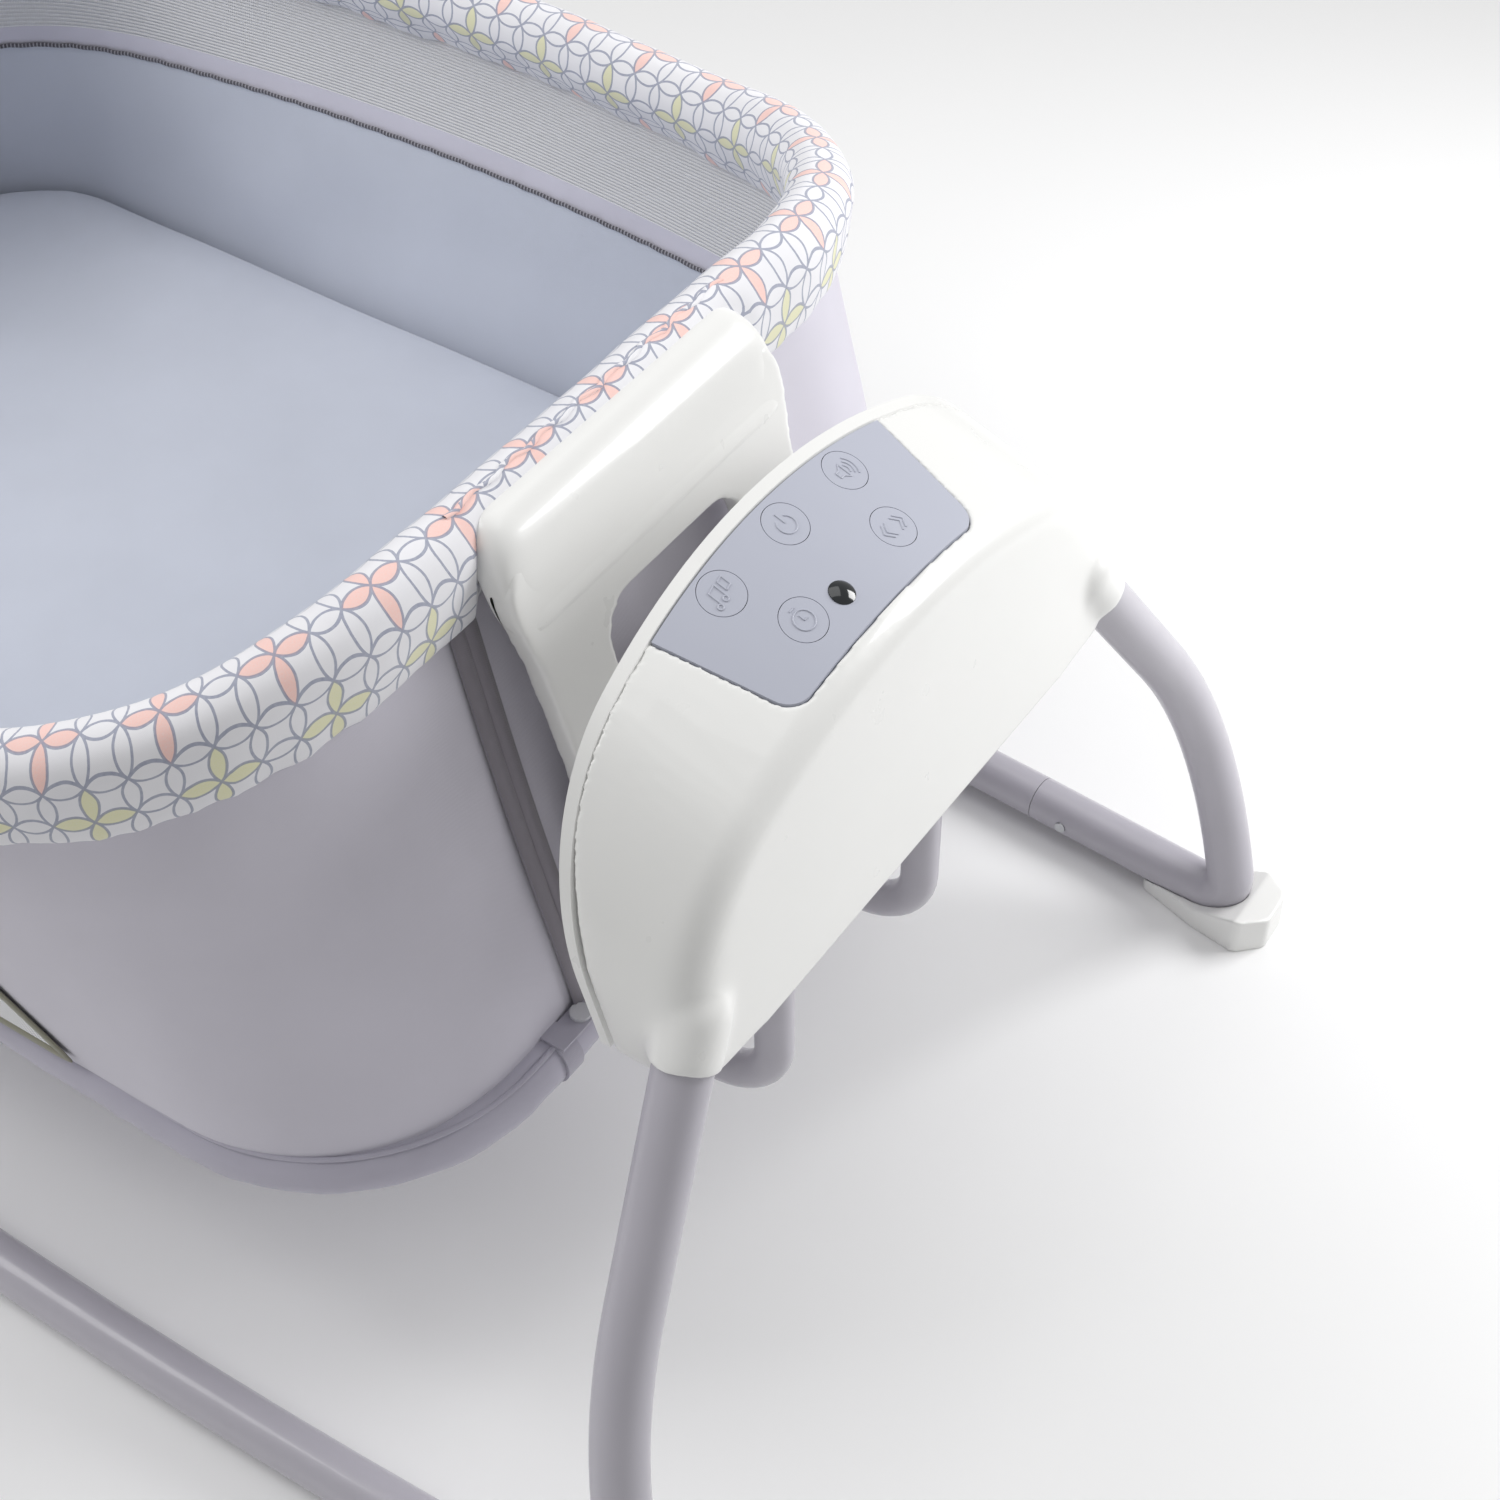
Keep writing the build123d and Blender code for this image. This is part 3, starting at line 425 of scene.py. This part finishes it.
def applied(piece):
    """Replaces the mesh by what the modifiers make of it."""
    graph = bpy.context.evaluated_depsgraph_get()
    mesh = bpy.data.meshes.new_from_object(piece.evaluated_get(graph))
    piece.modifiers.clear()
    piece.data = mesh
    smooth(piece)


def finish_piece(piece, body, material):
    piece.data.materials.clear()
    piece.data.materials.append(material)
    for face in piece.data.polygons:
        face.material_index = 0
    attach(piece, body)
    return piece


def tube_rows(path, normals, ups, radii, count=10):
    """Rows of a tube round a path: one row for each angle, its section an ellipse."""
    wide, tall = radii
    rows = []
    for j in range(count):
        angle = 2 * math.pi * j / count
        rows.append([p + n * (wide * math.cos(angle)) + up * (tall * math.sin(angle))
                     for p, n, up in zip(path, normals, ups)])
    return rows


# ---- Plan loops ----
def plan_quarter(half_length, half_width, bow, corner, count):
    """Points and outward angles from the end's middle to the side's middle, evenly spaced."""
    side_radius = (half_length ** 2 + bow ** 2) / (2 * bow)
    centre_x = half_length - corner
    side_centre_y = half_width - side_radius
    centre_y = side_centre_y + math.sqrt((side_radius - corner) ** 2 - centre_x ** 2)
    turn_end = math.atan2(centre_y - side_centre_y, centre_x)
    straight, arc = centre_y, corner * turn_end
    side = side_radius * (math.pi / 2 - turn_end)
    total = straight + arc + side
    points = []
    for index in range(count + 1):
        distance = total * index / count
        if distance < straight:
            points.append((half_length, distance, 0.0))
        elif distance < straight + arc:
            angle = (distance - straight) / corner
            points.append((centre_x + corner * math.cos(angle), centre_y + corner * math.sin(angle), angle))
        else:
            angle = turn_end + (distance - straight - arc) / side_radius
            x = side_radius * math.cos(angle)
            y = side_centre_y + side_radius * math.sin(angle)
            points.append((x, y, angle))
    return points


def plan_loop(outline, count=LOOP_QUARTER):
    """Closed loop of (point, outward normal), anticlockwise from the motor end's middle."""
    quarter = plan_quarter(*outline, count)
    loop = []
    for mirror_x, mirror_y, order in ((1, 1, 1), (-1, 1, -1), (-1, -1, 1), (1, -1, -1)):
        part = quarter[:-1] if order > 0 else list(reversed(quarter))[:-1]
        for x, y, angle in part:
            normal = Vector((math.cos(angle) * mirror_x, math.sin(angle) * mirror_y, 0))
            loop.append((Vector((x * mirror_x, y * mirror_y, 0)), normal))
    return loop


def rim_z(x):
    """Height of the rim tube's axis, which dips towards the middle of the sides."""
    return RIM_MIDDLE_Z + RIM_RISE * (abs(x) / RIM_LOOP[0]) ** 4


RING_POINTS = plan_loop(RING_LOOP)
LOW_POINTS = plan_loop(WALL_LOW)
HIGH_POINTS = plan_loop(WALL_HIGH)
RIM_POINTS = plan_loop(RIM_LOOP)
LOOP_COUNT = len(RIM_POINTS)
UP = Vector((0, 0, 1))


def wall_top_z(index):
    return rim_z(HIGH_POINTS[index][0].x) - 14 * MM


def wall_point(index, share, out=0.0):
    """Point of the bassinet's wall, share 0 at the ring and 1 at the rim, moved out along the normal."""
    low, normal_low = LOW_POINTS[index]
    high, normal_high = HIGH_POINTS[index]
    normal = normal_low.lerp(normal_high, share).normalized()
    bulge = (2 * MM + 7 * MM * normal.x ** 2) * 4 * share * (1 - share)
    point = low.lerp(high, share) + normal * (bulge + out)
    point.z = WALL_LOW_Z + (wall_top_z(index) - WALL_LOW_Z) * share
    return point


def share_at(index, z):
    return (z - WALL_LOW_Z) / (wall_top_z(index) - WALL_LOW_Z)


def wall_ring_at(z, out=0.0):
    return [wall_point(i, share_at(i, z), out) for i in range(LOOP_COUNT)]


def creased(point, amount, scale):
    """Soft cloth unevenness, the same each run."""
    return amount * noise.noise(point * scale)


def fabric_wall(material):
    rows = []
    count = 30
    for j in range(count + 1):
        share = j / count
        row = []
        for i in range(LOOP_COUNT):
            point = wall_point(i, share)
            normal = LOW_POINTS[i][1]
            pull = math.sin(math.pi * share)
            crease = creased(Vector((point.x, point.y, point.z * 0.35)), 2.4 * MM, 26) * pull
            row.append(point + normal * (crease - 0.5 * MM))
        rows.append(row)
    wall = lofted("fabric_wall", rows, closed_u=True)
    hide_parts("side_fabric_left", "side_fabric_right", "end_fabric_motor", "end_fabric_plain")
    finish_piece(wall, "bassinet", material)


def lining(name, low_z, high_z, out, material, count, soft=1.0):
    """Inner layer of the wall between two heights; high_z None means up to the rim, and soft scales
    the creases."""
    rows = []
    for j in range(count + 1):
        row = []
        for i in range(LOOP_COUNT):
            low = share_at(i, low_z)
            high = 1.06 if high_z is None else share_at(i, high_z)
            share = low + (high - low) * j / count
            point = wall_point(i, share, out)
            normal = LOW_POINTS[i][1]
            fade = math.sin(math.pi * j / count)
            row.append(point + normal * (creased(point, 3.0 * MM * soft, 15) * fade))
        rows.append(row)
    piece = lofted(name, rows, closed_u=True)
    finish_piece(piece, "bassinet", material)
    return piece


def cloth_tube(name, points, out_directions, radii, material, closed=True):
    """Thin tube of cloth or tape on the bassinet, along a loop or an open line."""
    ups = []
    total = len(points)
    for i in range(total):
        before = points[i - 1] if closed else points[max(i - 1, 0)]
        after = points[(i + 1) % total] if closed else points[min(i + 1, total - 1)]
        up = (after - before).normalized().cross(out_directions[i]).normalized()
        ups.append(up * -1 if closed else up)
    rows = tube_rows(points, out_directions, ups, radii)
    piece = lofted(name, rows, closed_u=closed, closed_v=True)
    return finish_piece(piece, "bassinet", material)


def fabric_ring(material):
    """Casing round the bottom ring, gathered a little, with a welt along its top."""
    rows = []
    count = 20
    for j in range(count):
        angle = 2 * math.pi * j / count
        row = []
        for point, normal in RING_POINTS:
            centre = Vector((point.x, point.y, RING_Z))
            outward = normal * (RING_RADIUS * math.cos(angle))
            place = centre + outward + UP * (RING_RADIUS * math.sin(angle))
            gather = creased(Vector((place.x, place.y, angle)), 0.5 * MM, 160)
            pucker = creased(place, 1.0 * MM, 70) + gather
            away = (place - centre).normalized()
            row.append(place + away * pucker)
        rows.append(row)
    ring = lofted("fabric_ring", rows, closed_u=True, closed_v=True)
    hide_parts("ring_casing_motor", "ring_casing_plain")
    finish_piece(ring, "bassinet", material)
    welt = [Vector((p.x, p.y, RING_Z)) + n * 6 * MM + UP * 11.5 * MM for p, n in RING_POINTS]
    cloth_tube("ring_welt", welt, [n for _, n in RING_POINTS], (1.4 * MM, 1.0 * MM),
               material)


RIM_SECTION = [(-7, -16), (-15, -2), (-19, 10), (-16, 22), (-8, 28.5), (1, 28.8),
               (9, 24), (13, 14), (12, 3), (10.5, -6), (8, -14), (0, -16)]
TUCKED_SECTION = [(-7, -16), (-15, -2), (-19, 10), (-16, 22), (-8, 28.5), (0, 29),
                  (6, 25), (7, 18), (6, 8), (5, 0), (4, -10), (0, -16)]
PLATE_ROLL = [(32.6, -20), (30.1, -9), (28.1, 0), (25.4, 10), (20.8, 18.8), (13.5, 24.6),
              (5, 26), (0, 22), (2, 10), (14, -14)]
PRINT_START = 10.7 * MM


def rounded_outline(corners, steps):
    """Closed smooth curve through the corners, with that many steps between two of them."""
    total, outline = len(corners), []
    for i in range(total):
        before, start, end, after = (Vector(corners[(i + k) % total]) for k in (-1, 0, 1, 2))
        for step in range(steps):
            t = step / steps
            outline.append(0.5 * (2 * start + (end - before) * t
                                  + (2 * before - 5 * start + 4 * end - after) * t ** 2
                                  + (3 * start - before - 3 * end + after) * t ** 3))
    return outline


def step_between(value, low, high):
    share = max(0.0, min(1.0, (value - low) / (high - low)))
    return share * share * (3 - 2 * share)


def padded_rim(material):
    """Sleeve over the rim tube, hanging lower at the corners and tucked in at the end plates."""
    plain, tucked = rounded_outline(RIM_SECTION, 4), rounded_outline(TUCKED_SECTION, 4)
    rows = []
    for plain_corner, tucked_corner in zip(plain, tucked):
        row = []
        for point, normal in RIM_POINTS:
            lap = step_between(PLATE_HALF - abs(point.y), 0, 9 * MM) if abs(point.x) > 250 * MM else 0.0
            outward, rise = plain_corner.lerp(tucked_corner, lap) * MM
            low_share = max(0.0, min(1.0, (6 * MM - rise) / (22 * MM)))
            corner_drop = step_between(abs(point.x), 130 * MM, 250 * MM) * 9 * MM - 4 * MM
            rise -= corner_drop * low_share * (1 - lap)
            centre = Vector((point.x, point.y, rim_z(point.x)))
            place = centre + normal * outward + UP * rise
            swell = creased(place, 1.6 * MM, 24)
            gather = creased(Vector((place.x, place.y, 0)), 2.2 * MM, 75) * low_share
            away = (normal * outward + UP * (rise - 6 * MM)).normalized()
            row.append(place + away * (swell + gather) * (1 - 0.6 * lap))
        rows.append(row)
    length = sum((a[0] - b[0]).length for a, b in zip(RIM_POINTS, RIM_POINTS[1:] + RIM_POINTS[:1]))
    repeats = 3 * round(length / (3 * PRINT_PITCH))
    rim = lofted("padded_rim", rows, closed_u=True, closed_v=True, u_length=repeats * PRINT_PITCH,
                 v_start=PRINT_START)
    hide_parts("rim_sleeve")
    finish_piece(rim, "bassinet", material)


def rim_welts(material):
    """Folded seam along the sleeve above each end plate."""
    for end, end_sign in (("motor", 1), ("plain", -1)):
        points = []
        for j in range(31):
            y = (j / 30 - 0.5) * 2 * PLATE_HALF
            x = RIM_LOOP[0] + (-2 + 1.2 * math.sin(j * 1.7)) * MM
            points.append(Vector((end_sign * x, y, rim_z(RIM_LOOP[0]) + 29.3 * MM)))
        out = [Vector((end_sign, 0, 0))] * len(points)
        cloth_tube(f"rim_welt_{end}", points, out, (1.3 * MM, 0.9 * MM), material,
                   closed=False)


def plate_rolls(material):
    """Rolled top of each end plate, which curls over the rim onto the sleeve."""
    outline = rounded_outline(PLATE_ROLL, 5)
    base = Vector((24, -14))
    for end, end_sign in (("motor", 1), ("plain", -1)):
        rows = []
        for corner in outline:
            row = []
            for j in range(61):
                y = math.sin((j / 60 - 0.5) * math.pi) * PLATE_HALF
                past = max(0.0, (abs(y) - 72 * MM) / (20.2 * MM))
                outward, rise = base.lerp(corner, (1 - past ** 3) ** (1 / 3)) * MM
                row.append(Vector((end_sign * (RIM_LOOP[0] + outward), y, rim_z(RIM_LOOP[0]) + rise)))
            rows.append(row)
        roll = lofted(f"plate_roll_{end}", rows, closed_v=True)
        finish_piece(roll, "bassinet", material)


def serged_seam(material):
    """Overlocked edge between the lining and the band above it."""
    ring = wall_ring_at(SEAM_Z, -7.5 * MM)
    normals = [-LOW_POINTS[i][1] for i in range(LOOP_COUNT)]
    points = [p + UP * (0.4 * MM * math.sin(i * 2.4)) for i, p in enumerate(ring)]
    cloth_tube("serged_seam", points, normals, (0.8 * MM, 1.3 * MM), material)


def side_y(x, z, out, sign):
    """Y of the side wall at that x and height."""
    middle = LOOP_QUARTER if sign > 0 else 3 * LOOP_QUARTER
    near = range(middle - 60, middle + 61)
    points = sorted((wall_point(i, share_at(i, z), out) for i in near), key=lambda p: p.x)
    for first, second in zip(points, points[1:]):
        if first.x <= x <= second.x:
            part = (x - first.x) / max(second.x - first.x, 1e-9)
            return first.y + (second.y - first.y) * part
    return points[-1].y


def window_half_width(z):
    """Half length of the mesh window at a height: straight sides below, an arch above."""
    if z < WINDOW_SHOULDER_Z:
        share = (z - WINDOW_LOW_Z) / (WINDOW_SHOULDER_Z - WINDOW_LOW_Z)
        return WINDOW_HALF - (WINDOW_HALF - WINDOW_SHOULDER_HALF) * share
    rise = WINDOW_TOP_Z - WINDOW_SHOULDER_Z
    radius = (WINDOW_SHOULDER_HALF ** 2 + rise ** 2) / (2 * rise)
    depth = z - (WINDOW_TOP_Z - radius)
    return math.sqrt(max(radius ** 2 - depth ** 2, 0))


def mesh_window(side, sign, net, tape):
    window_rise = WINDOW_TOP_Z - WINDOW_LOW_Z
    heights = [WINDOW_LOW_Z + window_rise * (j / 40) ** 0.8 for j in range(41)]
    heights[-1] = WINDOW_TOP_Z - 0.1 * MM
    columns = 60
    rows = []
    for z in heights:
        half = window_half_width(z)
        row = []
        for i in range(columns + 1):
            x = half * (2 * i / columns - 1)
            row.append(Vector((x, side_y(x, z, 1.6 * MM, sign), z)))
        rows.append(row)
    window = lofted(f"net_window_{side}", rows)
    layer = window.data.uv_layers["cloth"]
    for loop in window.data.loops:
        place = window.data.vertices[loop.vertex_index].co
        layer.data[loop.index].uv = (place.x, place.z)
    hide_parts(f"mesh_window_{side}")
    finish_piece(window, "bassinet", net)
    outline = [row[-1] for row in rows] + [row[0] for row in reversed(rows)]
    outline += rows[0][1:-1]
    normal = Vector((0, sign, 0.0))
    points = [p + normal * 0.4 * MM for p in outline]
    cloth_tube(f"window_tape_{side}", points, [normal] * len(points), (1.0 * MM, 2.6 * MM), tape)


def end_x(y, z, out):
    """X of the motor end wall at that y and height."""
    near = [LOOP_COUNT - i for i in range(40, 0, -1)] + list(range(41))
    points = sorted((wall_point(i % LOOP_COUNT, share_at(i % LOOP_COUNT, z), out) for i in near),
                    key=lambda p: p.y)
    for first, second in zip(points, points[1:]):
        if first.y <= y <= second.y:
            part = (y - first.y) / max(second.y - first.y, 1e-9)
            return first.x + (second.x - first.x) * part
    return points[-1].x


def end_tapes(tape):
    """Dark tapes up each end wall, beside the end plate."""
    for end, end_sign in (("motor", 1), ("plain", -1)):
        for side, sign in (("left", 1), ("right", -1)):
            rows = []
            for j in range(25):
                z = END_TAPE_LOW_Z + END_TAPE_RISE * j / 24
                middle = (88 + 14 * math.sin(math.pi * min(1.0, j / 24 * 0.75))) * MM
                row = []
                for across in TAPE_SECTION:
                    y = sign * (middle + across * MM)
                    out = 0.3 * MM if abs(across) > 7.6 else (0.9 if across == 0 else 1.7) * MM
                    row.append(Vector((end_sign * end_x(y, z, out + 1.2 * MM), y, z)))
                rows.append(row)
            piece = lofted(f"end_tape_{end}_{side}", rows)
            finish_piece(piece, "bassinet", tape)


# ---- Mattress ----
def simulate_pad(pad, limit):
    """Inflates the pad a little as cloth, and caps how far a point may move."""
    rest = [v.co.copy() for v in pad.data.vertices]
    cloth = pad.modifiers.new("cloth", "CLOTH")
    cloth.settings.use_pressure = True
    cloth.settings.uniform_pressure_force = 4
    cloth.settings.effector_weights.gravity = 0
    cloth.point_cache.frame_end = 20
    for step in range(1, 21):
        scene.frame_set(step)
    applied(pad)
    scene.frame_set(1)
    for vertex, start in zip(pad.data.vertices, rest):
        move = vertex.co - start
        if move.length > limit:
            vertex.co = start + move.normalized() * limit


def mattress(material):
    source = frame["nodes"]["mattress"]
    pad = bpy.data.objects.new("mattress_pad", source.data.copy())
    scene.collection.objects.link(pad)
    low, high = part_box("mattress")
    middle = (low + high) / 2
    for vertex in pad.data.vertices:
        away = vertex.co - middle
        vertex.co = middle + Vector((away.x * 1.008, away.y * 1.03, away.z * 0.99))
    remesh = pad.modifiers.new("remesh", "REMESH")
    remesh.mode = "VOXEL"
    remesh.voxel_size = PAD_VOXEL
    applied(pad)
    simulate_pad(pad, PAD_SWELL_LIMIT)
    for vertex in pad.data.vertices:
        vertex.co.z = max(vertex.co.z, low.z + 0.2 * MM)
        vertex.co.z += creased(vertex.co, 2.0 * MM, 9) if vertex.co.z > middle.z else 0.0
    rounder = pad.modifiers.new("rounder", "SMOOTH")
    rounder.factor = 0.5
    rounder.iterations = 6
    finer = pad.modifiers.new("finer", "SUBSURF")
    finer.levels = 1
    finer.render_levels = 1
    applied(pad)
    layer = pad.data.uv_layers.new(name="cloth")
    for loop in pad.data.loops:
        place = pad.data.vertices[loop.vertex_index].co
        layer.data[loop.index].uv = (place.x, place.y)
    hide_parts("mattress")
    finish_piece(pad, "mattress", material)


# ---- Moulded shells, softened from their CAD solids ----
def softened(node, body, name, material, voxel, passes, region=None, region_passes=0, trim=None):
    """Rounds a moulded part's edges. Region marks where the form also flows together more, and trim
    puts an edge back where it belongs."""
    piece = bpy.data.objects.new(name, frame["nodes"][node].data.copy())
    scene.collection.objects.link(piece)
    remesh = piece.modifiers.new("remesh", "REMESH")
    remesh.mode = "VOXEL"
    remesh.voxel_size = voxel
    wrap = piece.modifiers.new("wrap", "SHRINKWRAP")
    wrap.target = frame["nodes"][node]
    applied(piece)
    relax = piece.modifiers.new("relax", "SMOOTH")
    relax.factor = 0.5
    relax.iterations = passes
    if region:
        group = piece.vertex_groups.new(name="flow")
        for vertex in piece.data.vertices:
            group.add([vertex.index], region(vertex.co), "REPLACE")
        flow = piece.modifiers.new("flow", "SMOOTH")
        flow.factor = 0.5
        flow.iterations = region_passes
        flow.vertex_group = "flow"
    applied(piece)
    piece.vertex_groups.clear()
    if trim:
        for vertex in piece.data.vertices:
            vertex.co = trim(vertex.co)
    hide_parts(node)
    return finish_piece(piece, body, material)


def collar_flow(place):
    """1 at the housing's outer shoulders by the leg collars, fading out."""
    sideways = (abs(place.y) - 0.118) / 0.03
    height = (0.372 - place.z) / 0.03
    return max(0.0, min(1.0, sideways, height))


def meet_liner(place):
    """Draws the outer cover's rounded edge in until it just meets the inner cover."""
    seam_x = SEAM_X - HOOD_LEAN * (place.z - SEAM_LEVEL)
    past = abs(place.x) - seam_x
    shift = SEAM_GAP * max(0.0, 1 - past / SEAM_REACH)
    return Vector((place.x - math.copysign(shift, place.x), place.y, place.z))


# ---- Panel icons ----
def arc(centre, radius, start, end, count=16):
    return [(centre[0] + radius * math.cos(math.radians(start + (end - start) * i / count)),
             centre[1] + radius * math.sin(math.radians(start + (end - start) * i / count)))
            for i in range(count + 1)]


def icon_strokes():
    """Generic symbols, in millimetres, right and up as the buttons are read."""
    note = [(-3.2, -2.6), (-3.2, 3.0), (0.4, 3.8), (0.4, -1.8)]
    speaker = [(-4.2, -1.2), (-2.4, -1.2), (-0.2, -3.2), (-0.2, 3.2), (-2.4, 1.2), (-4.2, 1.2), (-4.2, -1.2)]
    return {
        "power": [arc((0, -0.5), 3.6, 125, 415), [(0, 0.2), (0, 4.6)]],
        "volume": [speaker] + [arc((-0.6, 0), radius, -45, 45) for radius in (2.4, 4.0, 5.6)],
        "music": [note, arc((-4.2, -2.8), 1.0, 0, 360), arc((-0.6, -2.0), 1.0, 0, 360),
                  [(2.0, 3.6), (2.0, -0.4), (4.6, 0.2), (4.6, 4.2), (2.0, 3.6)]],
        "swing": [[(-1.6, 3.0), (-4.0, 0), (-1.6, -3.0)], [(1.6, 3.0), (4.0, 0), (1.6, -3.0)],
                  [(-3.4, 3.0), (-5.8, 0), (-3.4, -3.0)], [(3.4, 3.0), (5.8, 0), (3.4, -3.0)]],
        "timer": [arc((0, -0.3), 3.8, 0, 360), [(0, -0.3), (0, 2.0)], [(0, -0.3), (1.5, -0.3)],
                  [(-1.2, 4.9), (1.2, 4.9)]],
    }


ICON_SCALE = 1.22 * MM
ICON_LINE = 0.42 * MM
PANEL_NORMAL = Vector((math.sin(PANEL_SLOPE), 0, math.cos(PANEL_SLOPE)))
PANEL_UP = Vector((-math.cos(PANEL_SLOPE), 0, math.sin(PANEL_SLOPE)))


def on_button(button, middle, across, rise):
    """Point of the button's top face at that place on the icon's drawing."""
    above = middle + Vector((0, 1, 0)) * across + PANEL_UP * rise + PANEL_NORMAL * 30 * MM
    hit, place, _, _ = button.ray_cast(above, -PANEL_NORMAL)
    return place if hit else None


def dense(stroke):
    """The stroke with points no more than about half a millimetre apart."""
    points = [Vector(stroke[0])]
    for first, second in zip(stroke, stroke[1:]):
        first, second = Vector(first), Vector(second)
        steps = max(1, math.ceil((second - first).length / 0.4))
        points += [first.lerp(second, (k + 1) / steps) for k in range(steps)]
    return points


def icons(material):
    """Raised symbols that follow the curved top of each button."""
    for name, strokes in icon_strokes().items():
        button = frame["nodes"][f"button_{name}"]
        low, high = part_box(f"button_{name}")
        middle = (low + high) / 2
        curve = bpy.data.curves.new(f"icon_{name}", "CURVE")
        curve.dimensions = "3D"
        curve.bevel_depth = ICON_LINE
        curve.bevel_resolution = 2
        curve.use_fill_caps = True
        for stroke in strokes:
            places = [on_button(button, middle, p.x * ICON_SCALE, p.y * ICON_SCALE) for p in dense(stroke)]
            places = [place for place in places if place]
            line = curve.splines.new("POLY")
            line.points.add(len(places) - 1)
            for point, place in zip(line.points, places):
                point.co = (*place, 1)
        holder = bpy.data.objects.new(f"icon_{name}_curve", curve)
        scene.collection.objects.link(holder)
        graph = bpy.context.evaluated_depsgraph_get()
        mesh = bpy.data.meshes.new_from_object(holder.evaluated_get(graph))
        bpy.data.objects.remove(holder)
        piece = bpy.data.objects.new(f"icon_{name}", mesh)
        scene.collection.objects.link(piece)
        smooth(piece)
        finish_piece(piece, f"{name}_button", material)


# ---- Build ----
def node_materials(white, panel, liner_cloth):
    """Material for each slot that a kept frame node uses."""
    return {
        "white_plastic": white,
        "panel_plastic": panel,
        "dark_lens": moulded("dark_lens", linear(22, 26, 30), 0.12, 0.8),
        "tube_paint": powder_coat("tube_paint", linear(186, 183, 192)),
        "zinc_steel": metal("zinc_steel", (0.62, 0.63, 0.65, 1), 0.35),
        "bronze": metal("bronze", (0.62, 0.42, 0.2, 1), 0.4),
        "cast_aluminium": metal("cast_aluminium", (0.7, 0.71, 0.72, 1), 0.5),
        "copper_winding": metal("copper_winding", (0.8, 0.36, 0.18, 1), 0.3),
        "board_green": moulded("board_green", linear(20, 95, 50), 0.4),
        "black_plastic": moulded("black_plastic", linear(40, 40, 43), 0.45, 0.0),
        "snap_metal": moulded("snap_plastic", linear(205, 205, 210), 0.3),
        "webbing": woven("strap_cloth", linear(180, 177, 190), 0.8 * MM, on_solid=True),
        "lavender_fabric": woven("base_cloth", RING_COLOUR, on_solid=True),
        "liner_fabric": liner_cloth,
        "fibre_board": moulded("fibre_board", linear(150, 125, 92), 0.7, 0.0),
    }


def dress_nodes(materials):
    slot_of = {row["node"]: row["material_slot"] for row in frame["record"]["subparts"]}
    for node, piece in frame["nodes"].items():
        material = materials.get(slot_of[node])
        if material:
            for slot in piece.material_slots:
                slot.material = material


def bassinet_cloth(white, liner_cloth):
    """Rim sleeve, ring casing, wall, linings, windows and tapes."""
    printed = printed_cloth()
    padded_rim(printed)
    rim_welts(printed)
    plate_rolls(white)
    fabric_ring(woven("ring_cloth", RING_COLOUR))
    fabric_wall(woven("lavender_cloth", linear(221, 218, 229)))
    lining("smooth_lining", 168 * MM, SEAM_Z, -7 * MM, liner_cloth, 18)
    pale_band = woven("pale_band", linear(222, 220, 233))
    lining("lining_band", SEAM_Z, BAND_TOP_Z, -6 * MM, pale_band, 4, 0.2)
    ribs = ribbed_net("ribbed_net", linear(248, 248, 250))
    lining("ribbed_lining", BAND_TOP_Z, None, -6 * MM, ribs, 12,
           0.4)
    serged_seam(stitched_thread())
    net = knit_net("window_net", linear(236, 236, 236), 2.6 * MM, 2.0 * MM, 0.55, linear(170, 172, 180))
    olive = woven("olive_tape", linear(150, 148, 132), 0.8 * MM)
    mesh_window("left", 1, net, olive)
    mesh_window("right", -1, net, olive)
    end_tapes(woven("dark_tape", linear(142, 137, 145), 0.9 * MM))


def white_shells(white):
    for end in ("motor", "plain"):
        softened(f"housing_cover_{end}", "base", f"housing_shell_{end}", white, 1.2 * MM, 6,
                 region=collar_flow, region_passes=90, trim=meet_liner)
        softened(f"end_plate_{end}", "bassinet", f"handle_plate_{end}", white, 1.5 * MM, 14)
        for side in ("left", "right"):
            softened(f"foot_shoe_{end}_{side}", "base", f"floor_shoe_{end}_{side}", white, 0.9 * MM, 4)


RING_COLOUR = linear(196, 193, 207)
white = moulded("white_plastic", linear(238, 238, 236), 0.3, 0.3)
panel = moulded("panel_plastic", linear(182, 185, 198), 0.42, 0.1)
liner_cloth = woven("liner_cloth", linear(212, 217, 230), 0.5 * MM, 0.35)

make_camera()
make_studio()
dress_nodes(node_materials(white, panel, liner_cloth))
bassinet_cloth(white, liner_cloth)
mattress(liner_cloth)
white_shells(white)
icons(panel)
